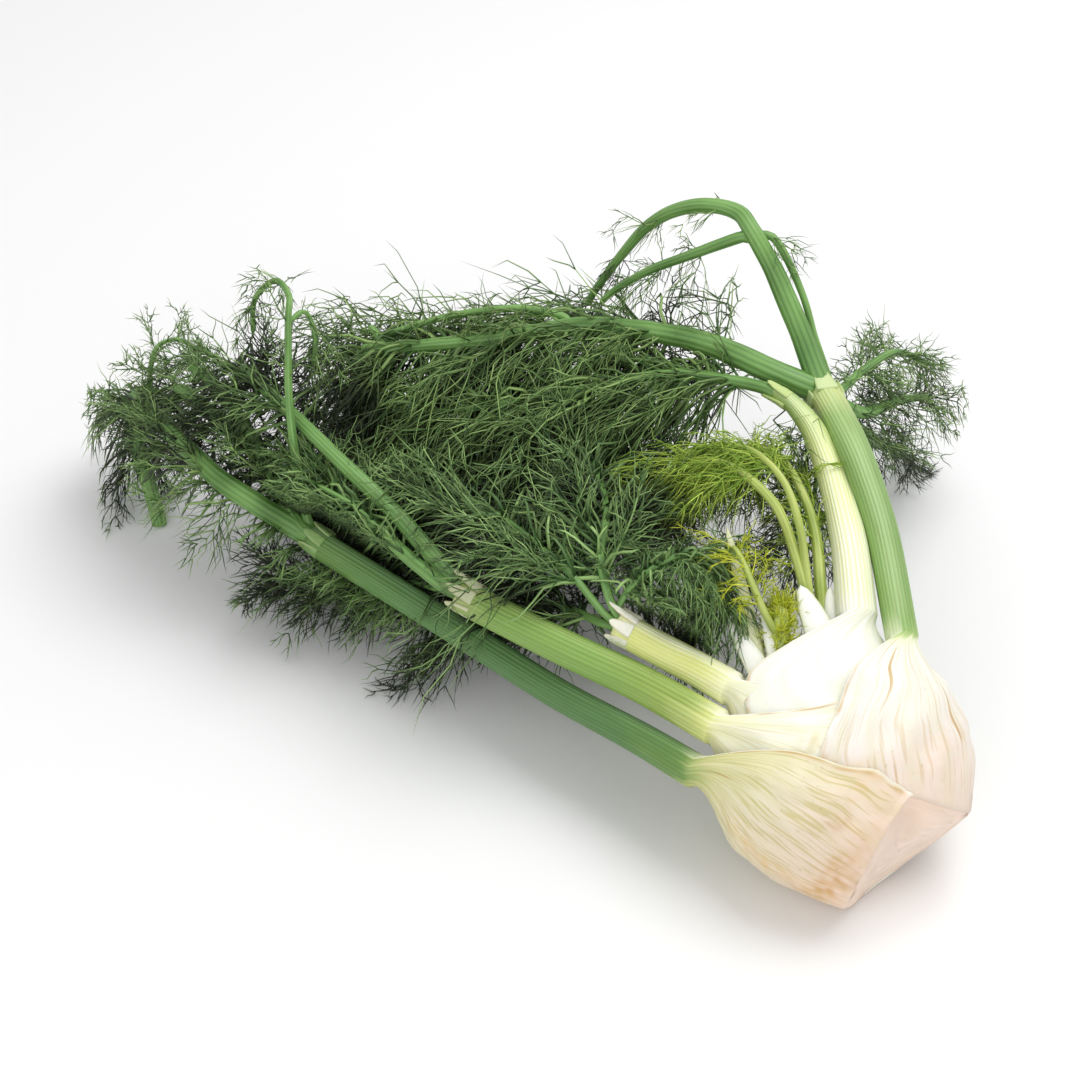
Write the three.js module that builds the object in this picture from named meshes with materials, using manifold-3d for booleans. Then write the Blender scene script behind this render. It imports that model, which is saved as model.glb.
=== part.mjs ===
// A fennel bulb, picked, trimmed and laid down on its side.
//
// The bulb is a flattened stack of clasping leaf bases round a short cut root plate. Each leaf base
// (a sheath) narrows into a ribbed stalk, and each stalk ends in a feathery frond of thin threads.
// Millimetres, +Z up. The origin is the middle of the small flat spot that the bulb rests on.

import * as THREE from 'three';
import { mergeVertices } from 'three/addons/utils/BufferGeometryUtils.js';
import Module from 'manifold-3d';

const wasm = await Module();
wasm.setup();

const vec = (x, y, z) => new THREE.Vector3(x, y, z);
const radians = THREE.MathUtils.degToRad;
const lerp = THREE.MathUtils.lerp;
const smooth = (x, low, high) => THREE.MathUtils.smoothstep(x, low, high);

// ---- Driving dimensions ------------------------------------------------------------------------

// The bulb's own axes: up from the cut base to the heart, across its width, and out of its face.
const BASE = vec(21, -17.9, 20.9);
const UP = vec(-0.469, 0.724, 0.506).normalize();
const ACROSS = vec(0.879, 0.436, 0.190).projectOnPlane(UP).normalize();
const FACE = ACROSS.clone().cross(UP);

// Outline of the bulb: height above the base, half width, half thickness, sideways shift.
const OUTLINE = [
  [-6, 28, 20, -3],
  [8, 39.2, 29, -3.8],
  [18, 46.4, 34, -4.1],
  [30, 52.8, 37.5, -4.2],
  [45, 56.4, 39, -4.3],
  [60, 56, 37.5, -4],
  [75, 51.6, 33.5, -3.2],
  [90, 45.2, 28, -1.2],
  [104, 39.5, 22, 2],
  [118, 32, 16, 4],
];
const SQUARENESS = 2.2;         // 2 would be a plain ellipse

const CUT_SLOPE = 5;            // how much the cut base rises from the left corner to the right
const HEEL_HEIGHT = 21;         // the cut runs up the face of the bulb in one corner
const HEEL_ANGLE = 79;
const HEEL_SPREAD = [21, 35];   // degrees, right and left of that corner
const PLATE_RIM = 2;            // thickness of the root plate at its rim
const PLATE_CROWN = 8;          // and inside, under the leaves
const PLATE_MIDDLE = 0.7;       // how far in the innermost rings of points lie, from 0 to 1

const WALL = 2;                 // a leaf base is this thick
const EDGE_WALL = 1.4;          // and this thin at its free edges
const LAYER = 3.6;              // from one leaf base to the next one in
const INNER_FOOT = 11;          // how much higher on the root plate the inner leaves start
const GAP = 0.35;               // between solids that touch

const LEAF_STEPS = 10;          // faces across a leaf base or half way round a stalk
const SHEATH_RINGS = 12;
const ROUND = 24;               // points round the root plate and the heart
const STALK_STEP = 18;          // length of a stalk between two rings
const STALK_BACK = 0.8;         // how far the flatter inner side stands out, against the outer side
// Degrees each way that one half of a stalk ring covers.
const HALF_TURN = 90 * LEAF_STEPS / (LEAF_STEPS + 1);

const STALK_ROOT = 8;           // how far a stalk's own shape reaches back into the leaf base
const HEART_FOOT = 5;           // from the root plate's crown to the heart
const HEART_STEP = 12;          // height between two rings of the heart
const HEART_TOP = 99;
const HEART_SHOULDER = 3;       // how far the heart draws in at its top
const TIP_SIDES = 6;

const STEM_STEP = 8;            // length of a frond's stem between two rings, in radii
const STEM_SIDES = 5;
const THREAD = 0.7;             // radius of a spray's main thread where it starts
const THREAD_TIP = 0.35;
const THREAD_ROOM = 1;          // radius that a thread needs, with the roots of its side threads
const BULB_ROOM = 2.5;          // how far the sprays keep from the bulb
const GROUND_ROOM = 0.1;
const FORK_ROOT = 1.3;          // width of a side thread where it starts
const FORKS = [[0.3, 0.6], [0.62, 0.44]];   // side threads: place along the spray, length as a share
const FORK_SWEEP = [38, 58];    // degrees between a side thread and its spray
const FORK_TURN = [60, 100];    // and round it, from straight up
const SPRAY_SWEEP = [34, 62];
const SPRAY_TURN = 82;
const SPRAY_SPREAD = 100;       // degrees over which sprays scatter about that turn
const SAG = vec(0, 0, -0.25);   // how a spray bends on its way, as a share of its length
const FORWARD = 0.3;            // and how much it bends the way its stem runs
const BEND = 0.55;              // how much of the whole bend a spray takes by its tip
const TRIES = 30;               // directions tried before a spray is left out
const SEED = 6;

// ---- Small helpers -----------------------------------------------------------------------------

// A value from a table of rows that start with a position, on a smooth curve through the rows.
function along(rows, position, column = 1) {
  const last = rows.length - 1;
  let i = 0;
  while (i < last - 1 && position > rows[i + 1][0]) i += 1;
  const slope = (k) => {
    const a = rows[Math.max(k - 1, 0)];
    const b = rows[Math.min(k + 1, last)];
    return (b[column] - a[column]) / (b[0] - a[0]);
  };
  const width = rows[i + 1][0] - rows[i][0];
  const s = THREE.MathUtils.clamp((position - rows[i][0]) / width, 0, 1);
  const s2 = s * s;
  const s3 = s2 * s;
  return (2 * s3 - 3 * s2 + 1) * rows[i][column] + (s3 - 2 * s2 + s) * width * slope(i)
    + (3 * s2 - 2 * s3) * rows[i + 1][column] + (s3 - s2) * width * slope(i + 1);
}

// A seeded draw between 0 and 1: the fraction of a large sine, the same on every run.
function draw(seed, index) {
  const value = Math.sin(index * 78.233 + seed * 37.719) * 43758.5453;
  return value - Math.floor(value);
}

function solidFrom(positions, triangles) {
  const geometry = new THREE.BufferGeometry();
  geometry.setAttribute('position', new THREE.Float32BufferAttribute(positions, 3));
  geometry.setIndex(triangles);
  return toManifold(geometry);
}

// A closed mesh as a manifold solid, turned the right way out.
function toManifold(geometry) {
  const bare = geometry.clone();
  bare.deleteAttribute('normal');
  bare.deleteAttribute('uv');
  const merged = mergeVertices(bare, 1e-4);
  const triVerts = new Uint32Array(merged.index.array);
  const vertProperties = new Float32Array(merged.attributes.position.array);
  let volume = 0;
  const corner = (k) => vec().fromArray(vertProperties, 3 * triVerts[k]);
  for (let k = 0; k < triVerts.length; k += 3) {
    volume += corner(k).dot(corner(k + 1).cross(corner(k + 2)));
  }
  if (volume < 0) triVerts.reverse();
  return new wasm.Manifold(new wasm.Mesh({ numProp: 3, vertProperties, triVerts }));
}

// A function that adds a triangle to a list, unless two of its corners are one.
const adder = (triangles) => (a, b, c) => {
  if (a !== b && b !== c && c !== a) triangles.push(a, b, c);
};

// The largest body of a solid: scraps that a cut leaves behind are dropped.
function largest(solid) {
  return solid.decompose().reduce((a, b) => (a.volume() > b.volume() ? a : b));
}

// A skin over rings of points, each ring a list of the same length, closed at both ends. The two
// halves of a ring lie face to face, so that a cap is a strip from one half to the other.
function skin(rings) {
  const n = rings[0].length;
  const positions = rings.flat().flatMap((p) => p.toArray());
  const triangles = [];
  for (let i = 0; i + 1 < rings.length; i += 1) {
    for (let j = 0; j < n; j += 1) {
      const a = i * n + j;
      const b = i * n + (j + 1) % n;
      triangles.push(a, b, b + n, a, b + n, a + n);
    }
  }
  for (const [start, flip] of [[0, false], [(rings.length - 1) * n, true]]) {
    for (let j = 0; j + 1 < n / 2; j += 1) {
      const quad = [j, n - 1 - j, n - 2 - j, j + 1].map((k) => start + k);
      const [a, b, c, d] = flip ? quad.reverse() : quad;
      triangles.push(a, b, c, a, c, d);
    }
  }
  return solidFrom(positions, triangles);
}

// ---- The bulb's shape --------------------------------------------------------------------------

const fromBulb = (x, y, height) => BASE.clone()
  .addScaledVector(ACROSS, x).addScaledVector(FACE, y).addScaledVector(UP, height);

const signedPower = (value, power) => Math.sign(value) * Math.abs(value) ** power;

// A point on the bulb at an angle from its right side, at a height, inset from the outside.
function bulbPoint(angle, height, inset) {
  const power = 2 / SQUARENESS;
  const x = (along(OUTLINE, height, 1) - inset) * signedPower(Math.cos(radians(angle)), power);
  const y = (along(OUTLINE, height, 2) - inset) * signedPower(Math.sin(radians(angle)), power);
  return fromBulb(x + along(OUTLINE, height, 3), y, height);
}

// Height of the cut base at an angle: a slanting cut with one high corner on the bulb's face.
function cutHeight(angle) {
  const turn = THREE.MathUtils.euclideanModulo(angle - HEEL_ANGLE + 180, 360) - 180;
  const spread = HEEL_SPREAD[turn > 0 ? 1 : 0];
  return CUT_SLOPE * Math.cos(radians(angle)) + HEEL_HEIGHT * Math.exp(-Math.abs(turn) / spread);
}

// How far in a layer lies. Where an outer leaf has turned into its stalk, the ones inside it
// come out to take its place.
function layerInset(layer, height, angle) {
  let inset = layer * LAYER;
  const rightSide = smooth(Math.cos(radians(angle)), 0.1, 0.6);
  if (layer >= 1) inset -= LAYER * Math.max(smooth(height, 66, 84), rightSide);
  if (layer >= 3) inset -= LAYER * smooth(height, 92, 108);
  return inset;
}

// ---- Leaves: a clasping base that narrows into a ribbed stalk -----------------------------------

// side: angle of the leaf's middle. layer: 0 is the outermost. top: height where the base has
// become a stalk. blend: where on the way it starts to, in the middle of the leaf and at its free
// edges, which stand on as a shoulder beside the stalk. front, back: degrees that each wing
// reaches round the bulb, against the way up. start: the stalk's first point in the bulb's own
// axes. route: the rest of its middle line. size: half width and half thickness along the stalk.
const LEAVES = {
  leaf_1_left_outer: {
    side: 180, layer: 0, foot: 0, top: 79, blend: [0.72, 0.72], color: 0x8fa86a,
    front: [[0, 101], [0.13, 97], [0.38, 91], [0.54, 79], [0.73, 67], [0.9, 55], [1, 38]],
    back: [[0, 98], [0.5, 78], [0.8, 56], [1, 34]],
    start: [-60, 2, 75],
    route: [vec(-89, 31, 46), vec(-123, 58, 45), vec(-158, 88, 46), vec(-194, 116, 50),
      vec(-227, 141, 54), vec(-235, 147, 56)],
    size: [[0, 7.4, 8], [0.3, 6.6, 7.2], [1, 6.4, 7]],
  },
  leaf_2_right_outer: {
    side: 0, layer: 1, foot: 0, top: 86, blend: [0.72, 0.86], color: 0xb9cf94,
    front: [[0, 125], [0.46, 112], [0.57, 102], [0.7, 88], [0.84, 76], [0.94, 62], [1, 18]],
    back: [[0, 120], [0.5, 100], [0.75, 70], [1, 18]],
    start: [42.5, 12, 84],
    route: [vec(15, 98, 98), vec(9, 125, 108), vec(3, 148, 113), vec(-5, 184, 110)],
    size: [[0, 7, 7.6], [0.5, 7.2, 7.8], [1, 7.4, 8]],
  },
  leaf_3_left_middle: {
    side: 180, layer: 2, foot: INNER_FOOT, top: 90, blend: [0.76, 0.76], color: 0xc9d79a,
    front: [[0, 118], [0.5, 112], [0.67, 96], [0.8, 74], [0.9, 54], [1, 20]],
    back: [[0, 105], [0.6, 86], [0.8, 58], [1, 20]],
    start: [-44.5, 9, 87],
    route: [vec(-89, 47, 63), vec(-123, 68, 65), vec(-158, 91, 67), vec(-166, 96, 68)],
    size: [[0, 8, 9], [1, 7.2, 8]],
  },
  leaf_4_right_middle: {
    side: 0, layer: 3, foot: INNER_FOOT, top: 108, blend: [0.72, 0.92], color: 0xe6e9c4,
    front: [[0, 122], [0.5, 130], [0.78, 140], [0.9, 134], [0.96, 100], [1, 20]],
    back: [[0, 110], [0.7, 100], [0.88, 66], [1, 20]],
    start: [32.5, 6, 106],
    route: [vec(0, 97, 97), vec(-4, 131, 103), vec(-11, 154, 111), vec(-20, 167, 117), vec(-27, 174, 118)],
    size: [[0, 8.6, 9.6], [0.4, 7.4, 8.2], [0.65, 6.4, 7.2], [0.85, 4.8, 5.2], [1, 3.2, 3.4]],
  },
  leaf_5_left_inner: {
    side: 180, layer: 4, foot: INNER_FOOT, top: 102, blend: [0.8, 0.8], color: 0xdfe6b4,
    front: [[0, 112], [0.7, 100], [0.9, 56], [1, 20]],
    back: [[0, 108], [0.7, 96], [0.9, 50], [1, 20]],
    start: [-31, 9, 98],
    route: [vec(-68, 50, 71), vec(-85, 60, 74), vec(-98, 68, 76)],
    size: [[0, 7.6, 8.2], [1, 7, 7.6]],
  },
};

// A ring of the leaf base: an outer row of points from the back wing to the front wing, and an
// inner row on the way back, a wall's thickness further in.
function baseRing(leaf, s) {
  const outer = [];
  const inner = [];
  const turn = leaf.side === 180 ? -1 : 1;
  for (let j = 0; j <= LEAF_STEPS; j += 1) {
    const part = (2 * j) / LEAF_STEPS - 1;
    const reach = along(part < 0 ? leaf.back : leaf.front, s);
    const angle = leaf.side + turn * part * reach;
    const foot = cutHeight(angle) + PLATE_RIM + GAP + leaf.foot;
    const height = lerp(foot, leaf.top, s);
    const wall = lerp(WALL, EDGE_WALL, part ** 4);
    const inset = layerInset(leaf.layer, height, angle);
    outer.push(bulbPoint(angle, height, inset));
    inner.push(bulbPoint(angle, height, inset + wall));
  }
  return [...outer, ...inner.reverse()];
}

// A ring of the stalk round a point of its middle line: rounded outside, flatter inside.
function stalkRing(leaf, centre, tangent, s) {
  const size = [along(leaf.size, s, 1), along(leaf.size, s, 2)];
  const outward = bulbPoint(leaf.side, 60, 0).sub(bulbPoint(leaf.side, 60, 20));
  outward.projectOnPlane(tangent).normalize();
  const across = tangent.clone().cross(outward).normalize();
  if (across.dot(FACE) < 0) across.negate();
  const point = (angle) => {
    const out = Math.cos(radians(angle)) * (Math.abs(angle) > 90 ? STALK_BACK : 1);
    return centre.clone()
      .addScaledVector(across, Math.sin(radians(angle)) * size[0])
      .addScaledVector(outward, out * size[1]);
  };
  const outer = [];
  const inner = [];
  for (let j = 0; j <= LEAF_STEPS; j += 1) {
    const part = (2 * j) / LEAF_STEPS - 1;
    outer.push(point(part * HALF_TURN));
    inner.push(point(180 - part * HALF_TURN));
  }
  return [...outer, ...inner.reverse()];
}

const stalkCurve = (leaf) => new THREE.CatmullRomCurve3([fromBulb(...leaf.start), ...leaf.route]);

// A leaf in one skin. Over the blend its base rings turn into stalk rings, which start inside the
// bulb on a straight line back from the stalk.
function leafSolid(leaf) {
  const curve = stalkCurve(leaf);
  const first = curve.getPointAt(0);
  const heading = curve.getTangentAt(0);
  const rings = [];
  for (let i = 0; i < SHEATH_RINGS; i += 1) {
    const s = i / (SHEATH_RINGS - 1);
    const ring = baseRing(leaf, s);
    if (s > leaf.blend[0]) {
      const back = STALK_ROOT * (1 - s) / (1 - leaf.blend[0]);
      const centre = first.clone().addScaledVector(heading, -back);
      const stalk = stalkRing(leaf, centre, heading, 0);
      ring.forEach((p, k) => {
        const part = (2 * Math.min(k, 2 * LEAF_STEPS + 1 - k)) / LEAF_STEPS - 1;
        p.lerp(stalk[k], smooth(s, lerp(...leaf.blend, part ** 2), 1));
      });
    }
    rings.push(ring);
  }
  const steps = Math.round(curve.getLength() / STALK_STEP);
  for (let i = 1; i <= steps; i += 1) {
    const s = i / steps;
    rings.push(stalkRing(leaf, curve.getPointAt(s), curve.getTangentAt(s), s));
  }
  return skin(rings);
}

// ---- Root plate and heart ----------------------------------------------------------------------

// A ring right round the bulb, with its height above the cut and its inset from the outside.
function roundRing(rise, inset, height = null) {
  return Array.from({ length: ROUND }, (_, j) => {
    const angle = (360 * j) / ROUND;
    return bulbPoint(angle, height ?? cutHeight(angle) + rise, inset(angle));
  });
}

// The short stem that every leaf grows from: a dish with the cut base below and a crown inside.
function plateSolid() {
  const share = (part) => (angle) => part * along(OUTLINE, cutHeight(angle), 2);
  return skin([
    roundRing(0, share(PLATE_MIDDLE)),
    roundRing(0, () => 0),
    roundRing(PLATE_RIM, () => 0),
    roundRing(PLATE_RIM, () => 2 * LAYER),
    roundRing(PLATE_RIM + PLATE_CROWN, () => 2.4 * LAYER),
    roundRing(PLATE_RIM + PLATE_CROWN, share(PLATE_MIDDLE)),
  ]);
}

// Pointed tips of the innermost leaves: foot, tip and radius, in the bulb's own axes.
const HEART_TIPS = [
  { foot: [-17, 8, 94], tip: [-15, 8, 121], radius: 4.6 },
  { foot: [-9, 7, 96], tip: [-5.5, 8, 119], radius: 2.6 },
  { foot: [11, 8, 92], tip: [16, 6, 122], radius: 5 },
  { foot: [19, 6, 94], tip: [32, 2, 122], radius: 4 },
  { foot: [1, -9, 94], tip: [2, -10, 116], radius: 4.6 },
];

function heartSolid() {
  const layer = Object.keys(LEAVES).length;
  const rise = PLATE_RIM + PLATE_CROWN + HEART_FOOT;
  const rings = [roundRing(rise, (angle) => layerInset(layer, rise, angle))];
  for (let height = HEEL_HEIGHT + rise; height < HEART_TOP; height += HEART_STEP) {
    rings.push(roundRing(0, (angle) => layerInset(layer, height, angle), height));
  }
  const topInset = (angle) => HEART_SHOULDER + layerInset(layer, HEART_TOP, angle);
  rings.push(roundRing(0, topInset, HEART_TOP));
  const tips = HEART_TIPS.map(({ foot, tip, radius }) => {
    const [low, high] = [fromBulb(...foot), fromBulb(...tip)];
    return thread([low, low.clone().lerp(high, 0.4), high], [radius, radius * 0.8, 0], TIP_SIDES);
  });
  return wasm.Manifold.union([skin(rings), ...tips]);
}

// ---- Fronds ------------------------------------------------------------------------------------

// A ring of a stem's section, square to its path.
function sectionRing(centre, tangent, radius, sides) {
  const helper = Math.abs(tangent.z) > 0.9 ? vec(1, 0, 0) : vec(0, 0, 1);
  const u = helper.projectOnPlane(tangent).normalize();
  const v = tangent.clone().cross(u);
  return Array.from({ length: sides }, (_, j) => {
    const angle = (2 * Math.PI * j) / sides;
    return centre.clone().addScaledVector(u, radius * Math.cos(angle))
      .addScaledVector(v, radius * Math.sin(angle));
  });
}

// A stem through points, with a radius at each, closed by flat ends, or by a point where the
// radius is 0.
function thread(points, radii, sides) {
  const positions = [];
  const rings = points.map((point, i) => {
    const ahead = points[Math.min(i + 1, points.length - 1)];
    const tangent = ahead.clone().sub(points[Math.max(i - 1, 0)]).normalize();
    const ring = radii[i] === 0 ? [point] : sectionRing(point, tangent, radii[i], sides);
    const start = positions.length / 3;
    positions.push(...ring.flatMap((p) => p.toArray()));
    return Array.from({ length: sides }, (_, j) => start + (ring.length > 1 ? j : 0));
  });
  const triangles = [];
  const add = adder(triangles);
  for (let i = 0; i + 1 < rings.length; i += 1) {
    for (let j = 0; j < sides; j += 1) {
      const k = (j + 1) % sides;
      add(rings[i][j], rings[i][k], rings[i + 1][k]);
      add(rings[i][j], rings[i + 1][k], rings[i + 1][j]);
    }
  }
  const [first, last] = [rings[0], rings[rings.length - 1]];
  for (let j = 1; j + 1 < sides; j += 1) {
    add(first[0], first[j + 1], first[j]);
    add(last[0], last[j], last[j + 1]);
  }
  return solidFrom(positions, triangles);
}

// Each frond: the leaf it ends, its colour and its stems. path: a stem's middle line. radius: first
// and last. leafy: the stretch that bears sprays of threads. sprays: how many. reach: their length.
const FRONDS = {
  frond_1: {
    leaf: 'leaf_1_left_outer', color: 0x3d6e38,
    stems: [
      { path: [vec(-230, 143, 55), vec(-238, 148, 57), vec(-258, 160, 62), vec(-281, 178, 66),
        vec(-305, 208, 68), vec(-324, 239, 62), vec(-330, 252, 44), vec(-326, 241, 22),
        vec(-318, 221, 6), vec(-317, 217, -2)],
        radius: [5.4, 3.6], leafy: [0.15, 0.82], sprays: 9, reach: 30, flow: vec(-0.1, 0, -0.2) },
      { path: [vec(-232, 145, 56), vec(-241, 150, 59), vec(-260, 184, 70), vec(-280, 203, 78),
        vec(-295, 216, 82), vec(-303, 221, 84)],
        radius: [4.4, 3.2], leafy: [0.3, 1], sprays: 5, reach: 28, flow: vec(0.1, 0, 0.1) },
      { path: [vec(-258, 181, 69), vec(-267, 193, 84), vec(-282, 209, 94), vec(-295, 220, 98)],
        radius: [2.8, 2.2], leafy: [0.5, 1], sprays: 2, reach: 24, flow: vec(-0.1, 0.1, 0.1) },
      { path: [vec(-231, 144, 55), vec(-237, 152, 62), vec(-241, 161, 84), vec(-244, 176, 112),
        vec(-244, 196, 142), vec(-244, 206, 148), vec(-251, 217, 148), vec(-261, 219, 136),
        vec(-263, 216, 118)],
        radius: [2.4, 1.1], leafy: [0.5, 1], sprays: 4, reach: 22, flow: vec(0, 0, -0.6) },
      { path: [vec(-244, 195, 141), vec(-237, 202, 142), vec(-233, 200, 130), vec(-235, 199, 114)],
        radius: [1.2, 0.9], leafy: [0.3, 1], sprays: 2, reach: 20, flow: vec(0.2, 0, -0.6) },
      { path: [vec(-318, 232, 64), vec(-317, 237, 72), vec(-315, 239, 84), vec(-311, 242, 92),
        vec(-302, 246, 92), vec(-295, 248, 84)],
        radius: [1.5, 0.9], leafy: [0.3, 1], sprays: 3, reach: 22, flow: vec(-0.2, 0, -0.4) },
    ],
  },
  frond_2: {
    leaf: 'leaf_2_right_outer', color: 0x44763a,
    stems: [
      { path: [vec(-5, 184, 110), vec(-6, 186, 113), vec(-15, 204, 130), vec(-27, 220, 152),
        vec(-37, 231, 166), vec(-42, 241, 168), vec(-54, 247, 168), vec(-68, 254, 161),
        vec(-81, 262, 147), vec(-94, 266, 126), vec(-105, 265, 108), vec(-110, 264, 98)],
        radius: [5.6, 1.6], leafy: [0.5, 1], sprays: 3, reach: 18, flow: vec(-0.1, 0, -0.5) },
      { path: [vec(-37, 229, 160), vec(-40, 230, 163), vec(-59, 235, 151), vec(-81, 244, 134),
        vec(-97, 250, 118), vec(-104, 250, 110)],
        radius: [2.8, 1.5], leafy: [0.3, 1], sprays: 3, reach: 20, flow: vec(0, 0, -0.7) },
      { path: [vec(-35, 232, 163), vec(-26, 229, 162), vec(-14, 218, 142), vec(-7, 205, 124),
        vec(1, 194, 106)],
        radius: [2, 1.3], leafy: [0.1, 0.9], sprays: 2, reach: 18, flow: vec(0.2, 0, -0.5) },
      { path: [vec(-6, 184, 111), vec(-11, 184, 113), vec(-28, 191, 117), vec(-54, 210, 117),
        vec(-81, 225, 113), vec(-109, 236, 108), vec(-122, 238, 105), vec(-150, 238, 99),
        vec(-179, 241, 93), vec(-208, 245, 87), vec(-216, 247, 84), vec(-217, 246, 68),
        vec(-215, 245, 50)],
        radius: [6, 2.4], leafy: [0.3, 1], sprays: 17, reach: 56, flow: vec(0, -0.15, -0.9) },
      { path: [vec(-117, 239, 106), vec(-122, 245, 107), vec(-141, 248, 109), vec(-165, 250, 105),
        vec(-186, 252, 98), vec(-205, 250, 92)],
        radius: [2.2, 1.4], leafy: [0.1, 1], sprays: 4, reach: 20, flow: vec(0, 0, -0.4) },
      { path: [vec(-204, 245, 88), vec(-213, 257, 92)],
        radius: [2.4, 2], leafy: [0.5, 1], sprays: 1, reach: 14, flow: vec(0, 0, -0.2) },
      { path: [vec(-4, 185, 110), vec(0, 189, 103), vec(17, 199, 86), vec(39, 228, 70),
        vec(56, 248, 56)],
        radius: [3.6, 1.6], leafy: [0.2, 1], sprays: 6, reach: 23, flow: vec(0.1, 0, -0.2) },
      { path: [vec(-3, 183, 108), vec(2, 186, 98), vec(18, 202, 72), vec(35, 224, 44),
        vec(47, 247, 20), vec(55, 270, -2)],
        radius: [3.4, 2.2], leafy: [0.2, 0.9], sprays: 6, reach: 21, flow: vec(0.1, 0, 0.1) },
      { path: [vec(-3, 187, 109), vec(3, 192, 104), vec(18, 216, 98), vec(36, 242, 88),
        vec(50, 253, 74)],
        radius: [2.4, 1.3], leafy: [0.25, 1], sprays: 5, reach: 23, flow: vec(0.1, 0, -0.2) },
    ],
  },
  frond_3: {
    leaf: 'leaf_3_left_middle', color: 0x3a6a35,
    stems: [
      { path: [vec(-162, 94, 68), vec(-170, 102, 72), vec(-193, 127, 84), vec(-214, 146, 94),
        vec(-246, 184, 100), vec(-271, 215, 100)],
        radius: [4.2, 2.6], leafy: [0.7, 1], sprays: 5, reach: 38, flow: vec(0, 0.15, -0.2) },
      { path: [vec(-163, 94, 68), vec(-175, 100, 70), vec(-196, 118, 78), vec(-214, 134, 86),
        vec(-231, 146, 88)],
        radius: [1.6, 1.1], leafy: [0.5, 1], sprays: 3, reach: 30, flow: vec(0, 0, -0.2) },
      { path: [vec(-163, 94, 69), vec(-173, 98, 71), vec(-190, 113, 75), vec(-209, 136, 79),
        vec(-226, 158, 81), vec(-238, 178, 80)],
        radius: [3.4, 2], leafy: [0.25, 1], sprays: 9, reach: 44, flow: vec(0, 0, -0.3) },
      { path: [vec(-169, 98, 70), vec(-176, 108, 60), vec(-186, 122, 44), vec(-200, 130, 30),
        vec(-220, 134, 22), vec(-245, 138, 16)],
        radius: [1.8, 1.1], leafy: [0.25, 1], sprays: 8, reach: 30, flow: vec(-0.1, 0, 0) },
    ],
  },
  frond_4: {
    leaf: 'leaf_4_right_middle', color: 0x4a7c38,
    stems: [
      { path: [vec(-25, 172, 118), vec(-31, 177, 118), vec(-45, 186, 115), vec(-72, 199, 109),
        vec(-104, 200, 101), vec(-129, 201, 94), vec(-159, 203, 86), vec(-185, 209, 78)],
        radius: [3, 1.3], leafy: [0.12, 1], sprays: 16, reach: 48, flow: vec(-0.1, -0.1, -0.8) },
    ],
  },
  frond_5: {
    leaf: 'leaf_5_left_inner', color: 0x35622f,
    stems: [
      { path: [vec(-94, 66, 76), vec(-104, 71, 80), vec(-117, 83, 90), vec(-130, 98, 92),
        vec(-147, 125, 86), vec(-168, 153, 76), vec(-187, 171, 66)],
        radius: [1.8, 1], leafy: [0.2, 1], sprays: 10, reach: 46, flow: vec(0, 0, -0.2) },
      { path: [vec(-94, 66, 77), vec(-101, 72, 84), vec(-106, 88, 96), vec(-103, 120, 96),
        vec(-109, 168, 84), vec(-122, 211, 66)],
        radius: [2, 1.1], leafy: [0.15, 1], sprays: 12, reach: 50, flow: vec(0.2, -0.1, -0.2) },
      { path: [vec(-94, 66, 75), vec(-106, 72, 74), vec(-119, 93, 62), vec(-136, 108, 50),
        vec(-159, 118, 38), vec(-182, 121, 26)],
        radius: [2, 1], leafy: [0.2, 1], sprays: 9, reach: 40, flow: vec(0, 0, -0.1) },
      { path: [vec(-94, 67, 77), vec(-98, 72, 84), vec(-85, 77, 100), vec(-68, 80, 106),
        vec(-58, 74, 100), vec(-55, 60, 90)],
        radius: [1.6, 1], leafy: [0.25, 1], sprays: 7, reach: 31, flow: vec(0.2, -0.2, -0.7) },
    ],
  },
  young_frond: {
    leaf: 'heart', color: 0x93b03a,
    stems: [
      { path: [vec(-12, 60, 75), vec(-18, 71, 88), vec(-24, 85, 104), vec(-31, 94, 119),
        vec(-41, 105, 125), vec(-53, 123, 120), vec(-66, 137, 107), vec(-76, 141, 92),
        vec(-81, 137, 77)],
        radius: [2.6, 1.2], leafy: [0.5, 1], sprays: 7, reach: 25, flow: vec(-0.1, -0.2, -1) },
      { path: [vec(-17, 70, 87), vec(-19, 80, 99), vec(-22, 90, 114), vec(-28, 103, 126),
        vec(-38, 119, 128), vec(-49, 138, 118), vec(-60, 150, 104)],
        radius: [2, 1.1], leafy: [0.5, 1], sprays: 5, reach: 23, flow: vec(-0.1, -0.2, -0.9) },
    ],
  },
  heart_tuft: {
    leaf: 'heart', color: 0xa4b62c,
    stems: [
      { path: [vec(-32, 42, 68), vec(-31, 52, 80), vec(-30, 66, 91)],
        radius: [3.4, 2.8], leafy: [0.35, 1], sprays: 3, reach: 8, flow: vec(0, 0, 0.3) },
      { path: [vec(-31, 54, 82), vec(-37, 58, 92), vec(-42, 63, 102), vec(-46, 71, 108),
        vec(-50, 82, 108), vec(-52, 84, 98)],
        radius: [1.8, 1.1], leafy: [0.3, 1], sprays: 5, reach: 18, flow: vec(-0.1, 0, -0.7) },
    ],
  },
};

// What is already taken in space: stems and threads as round-ended rods, with their owner.
const rods = [];

function addRods(owner, points, radii) {
  for (let i = 0; i + 1 < points.length; i += 1) {
    rods.push({ owner, a: points[i], b: points[i + 1], radius: Math.max(radii[i], radii[i + 1]) });
  }
}

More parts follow.
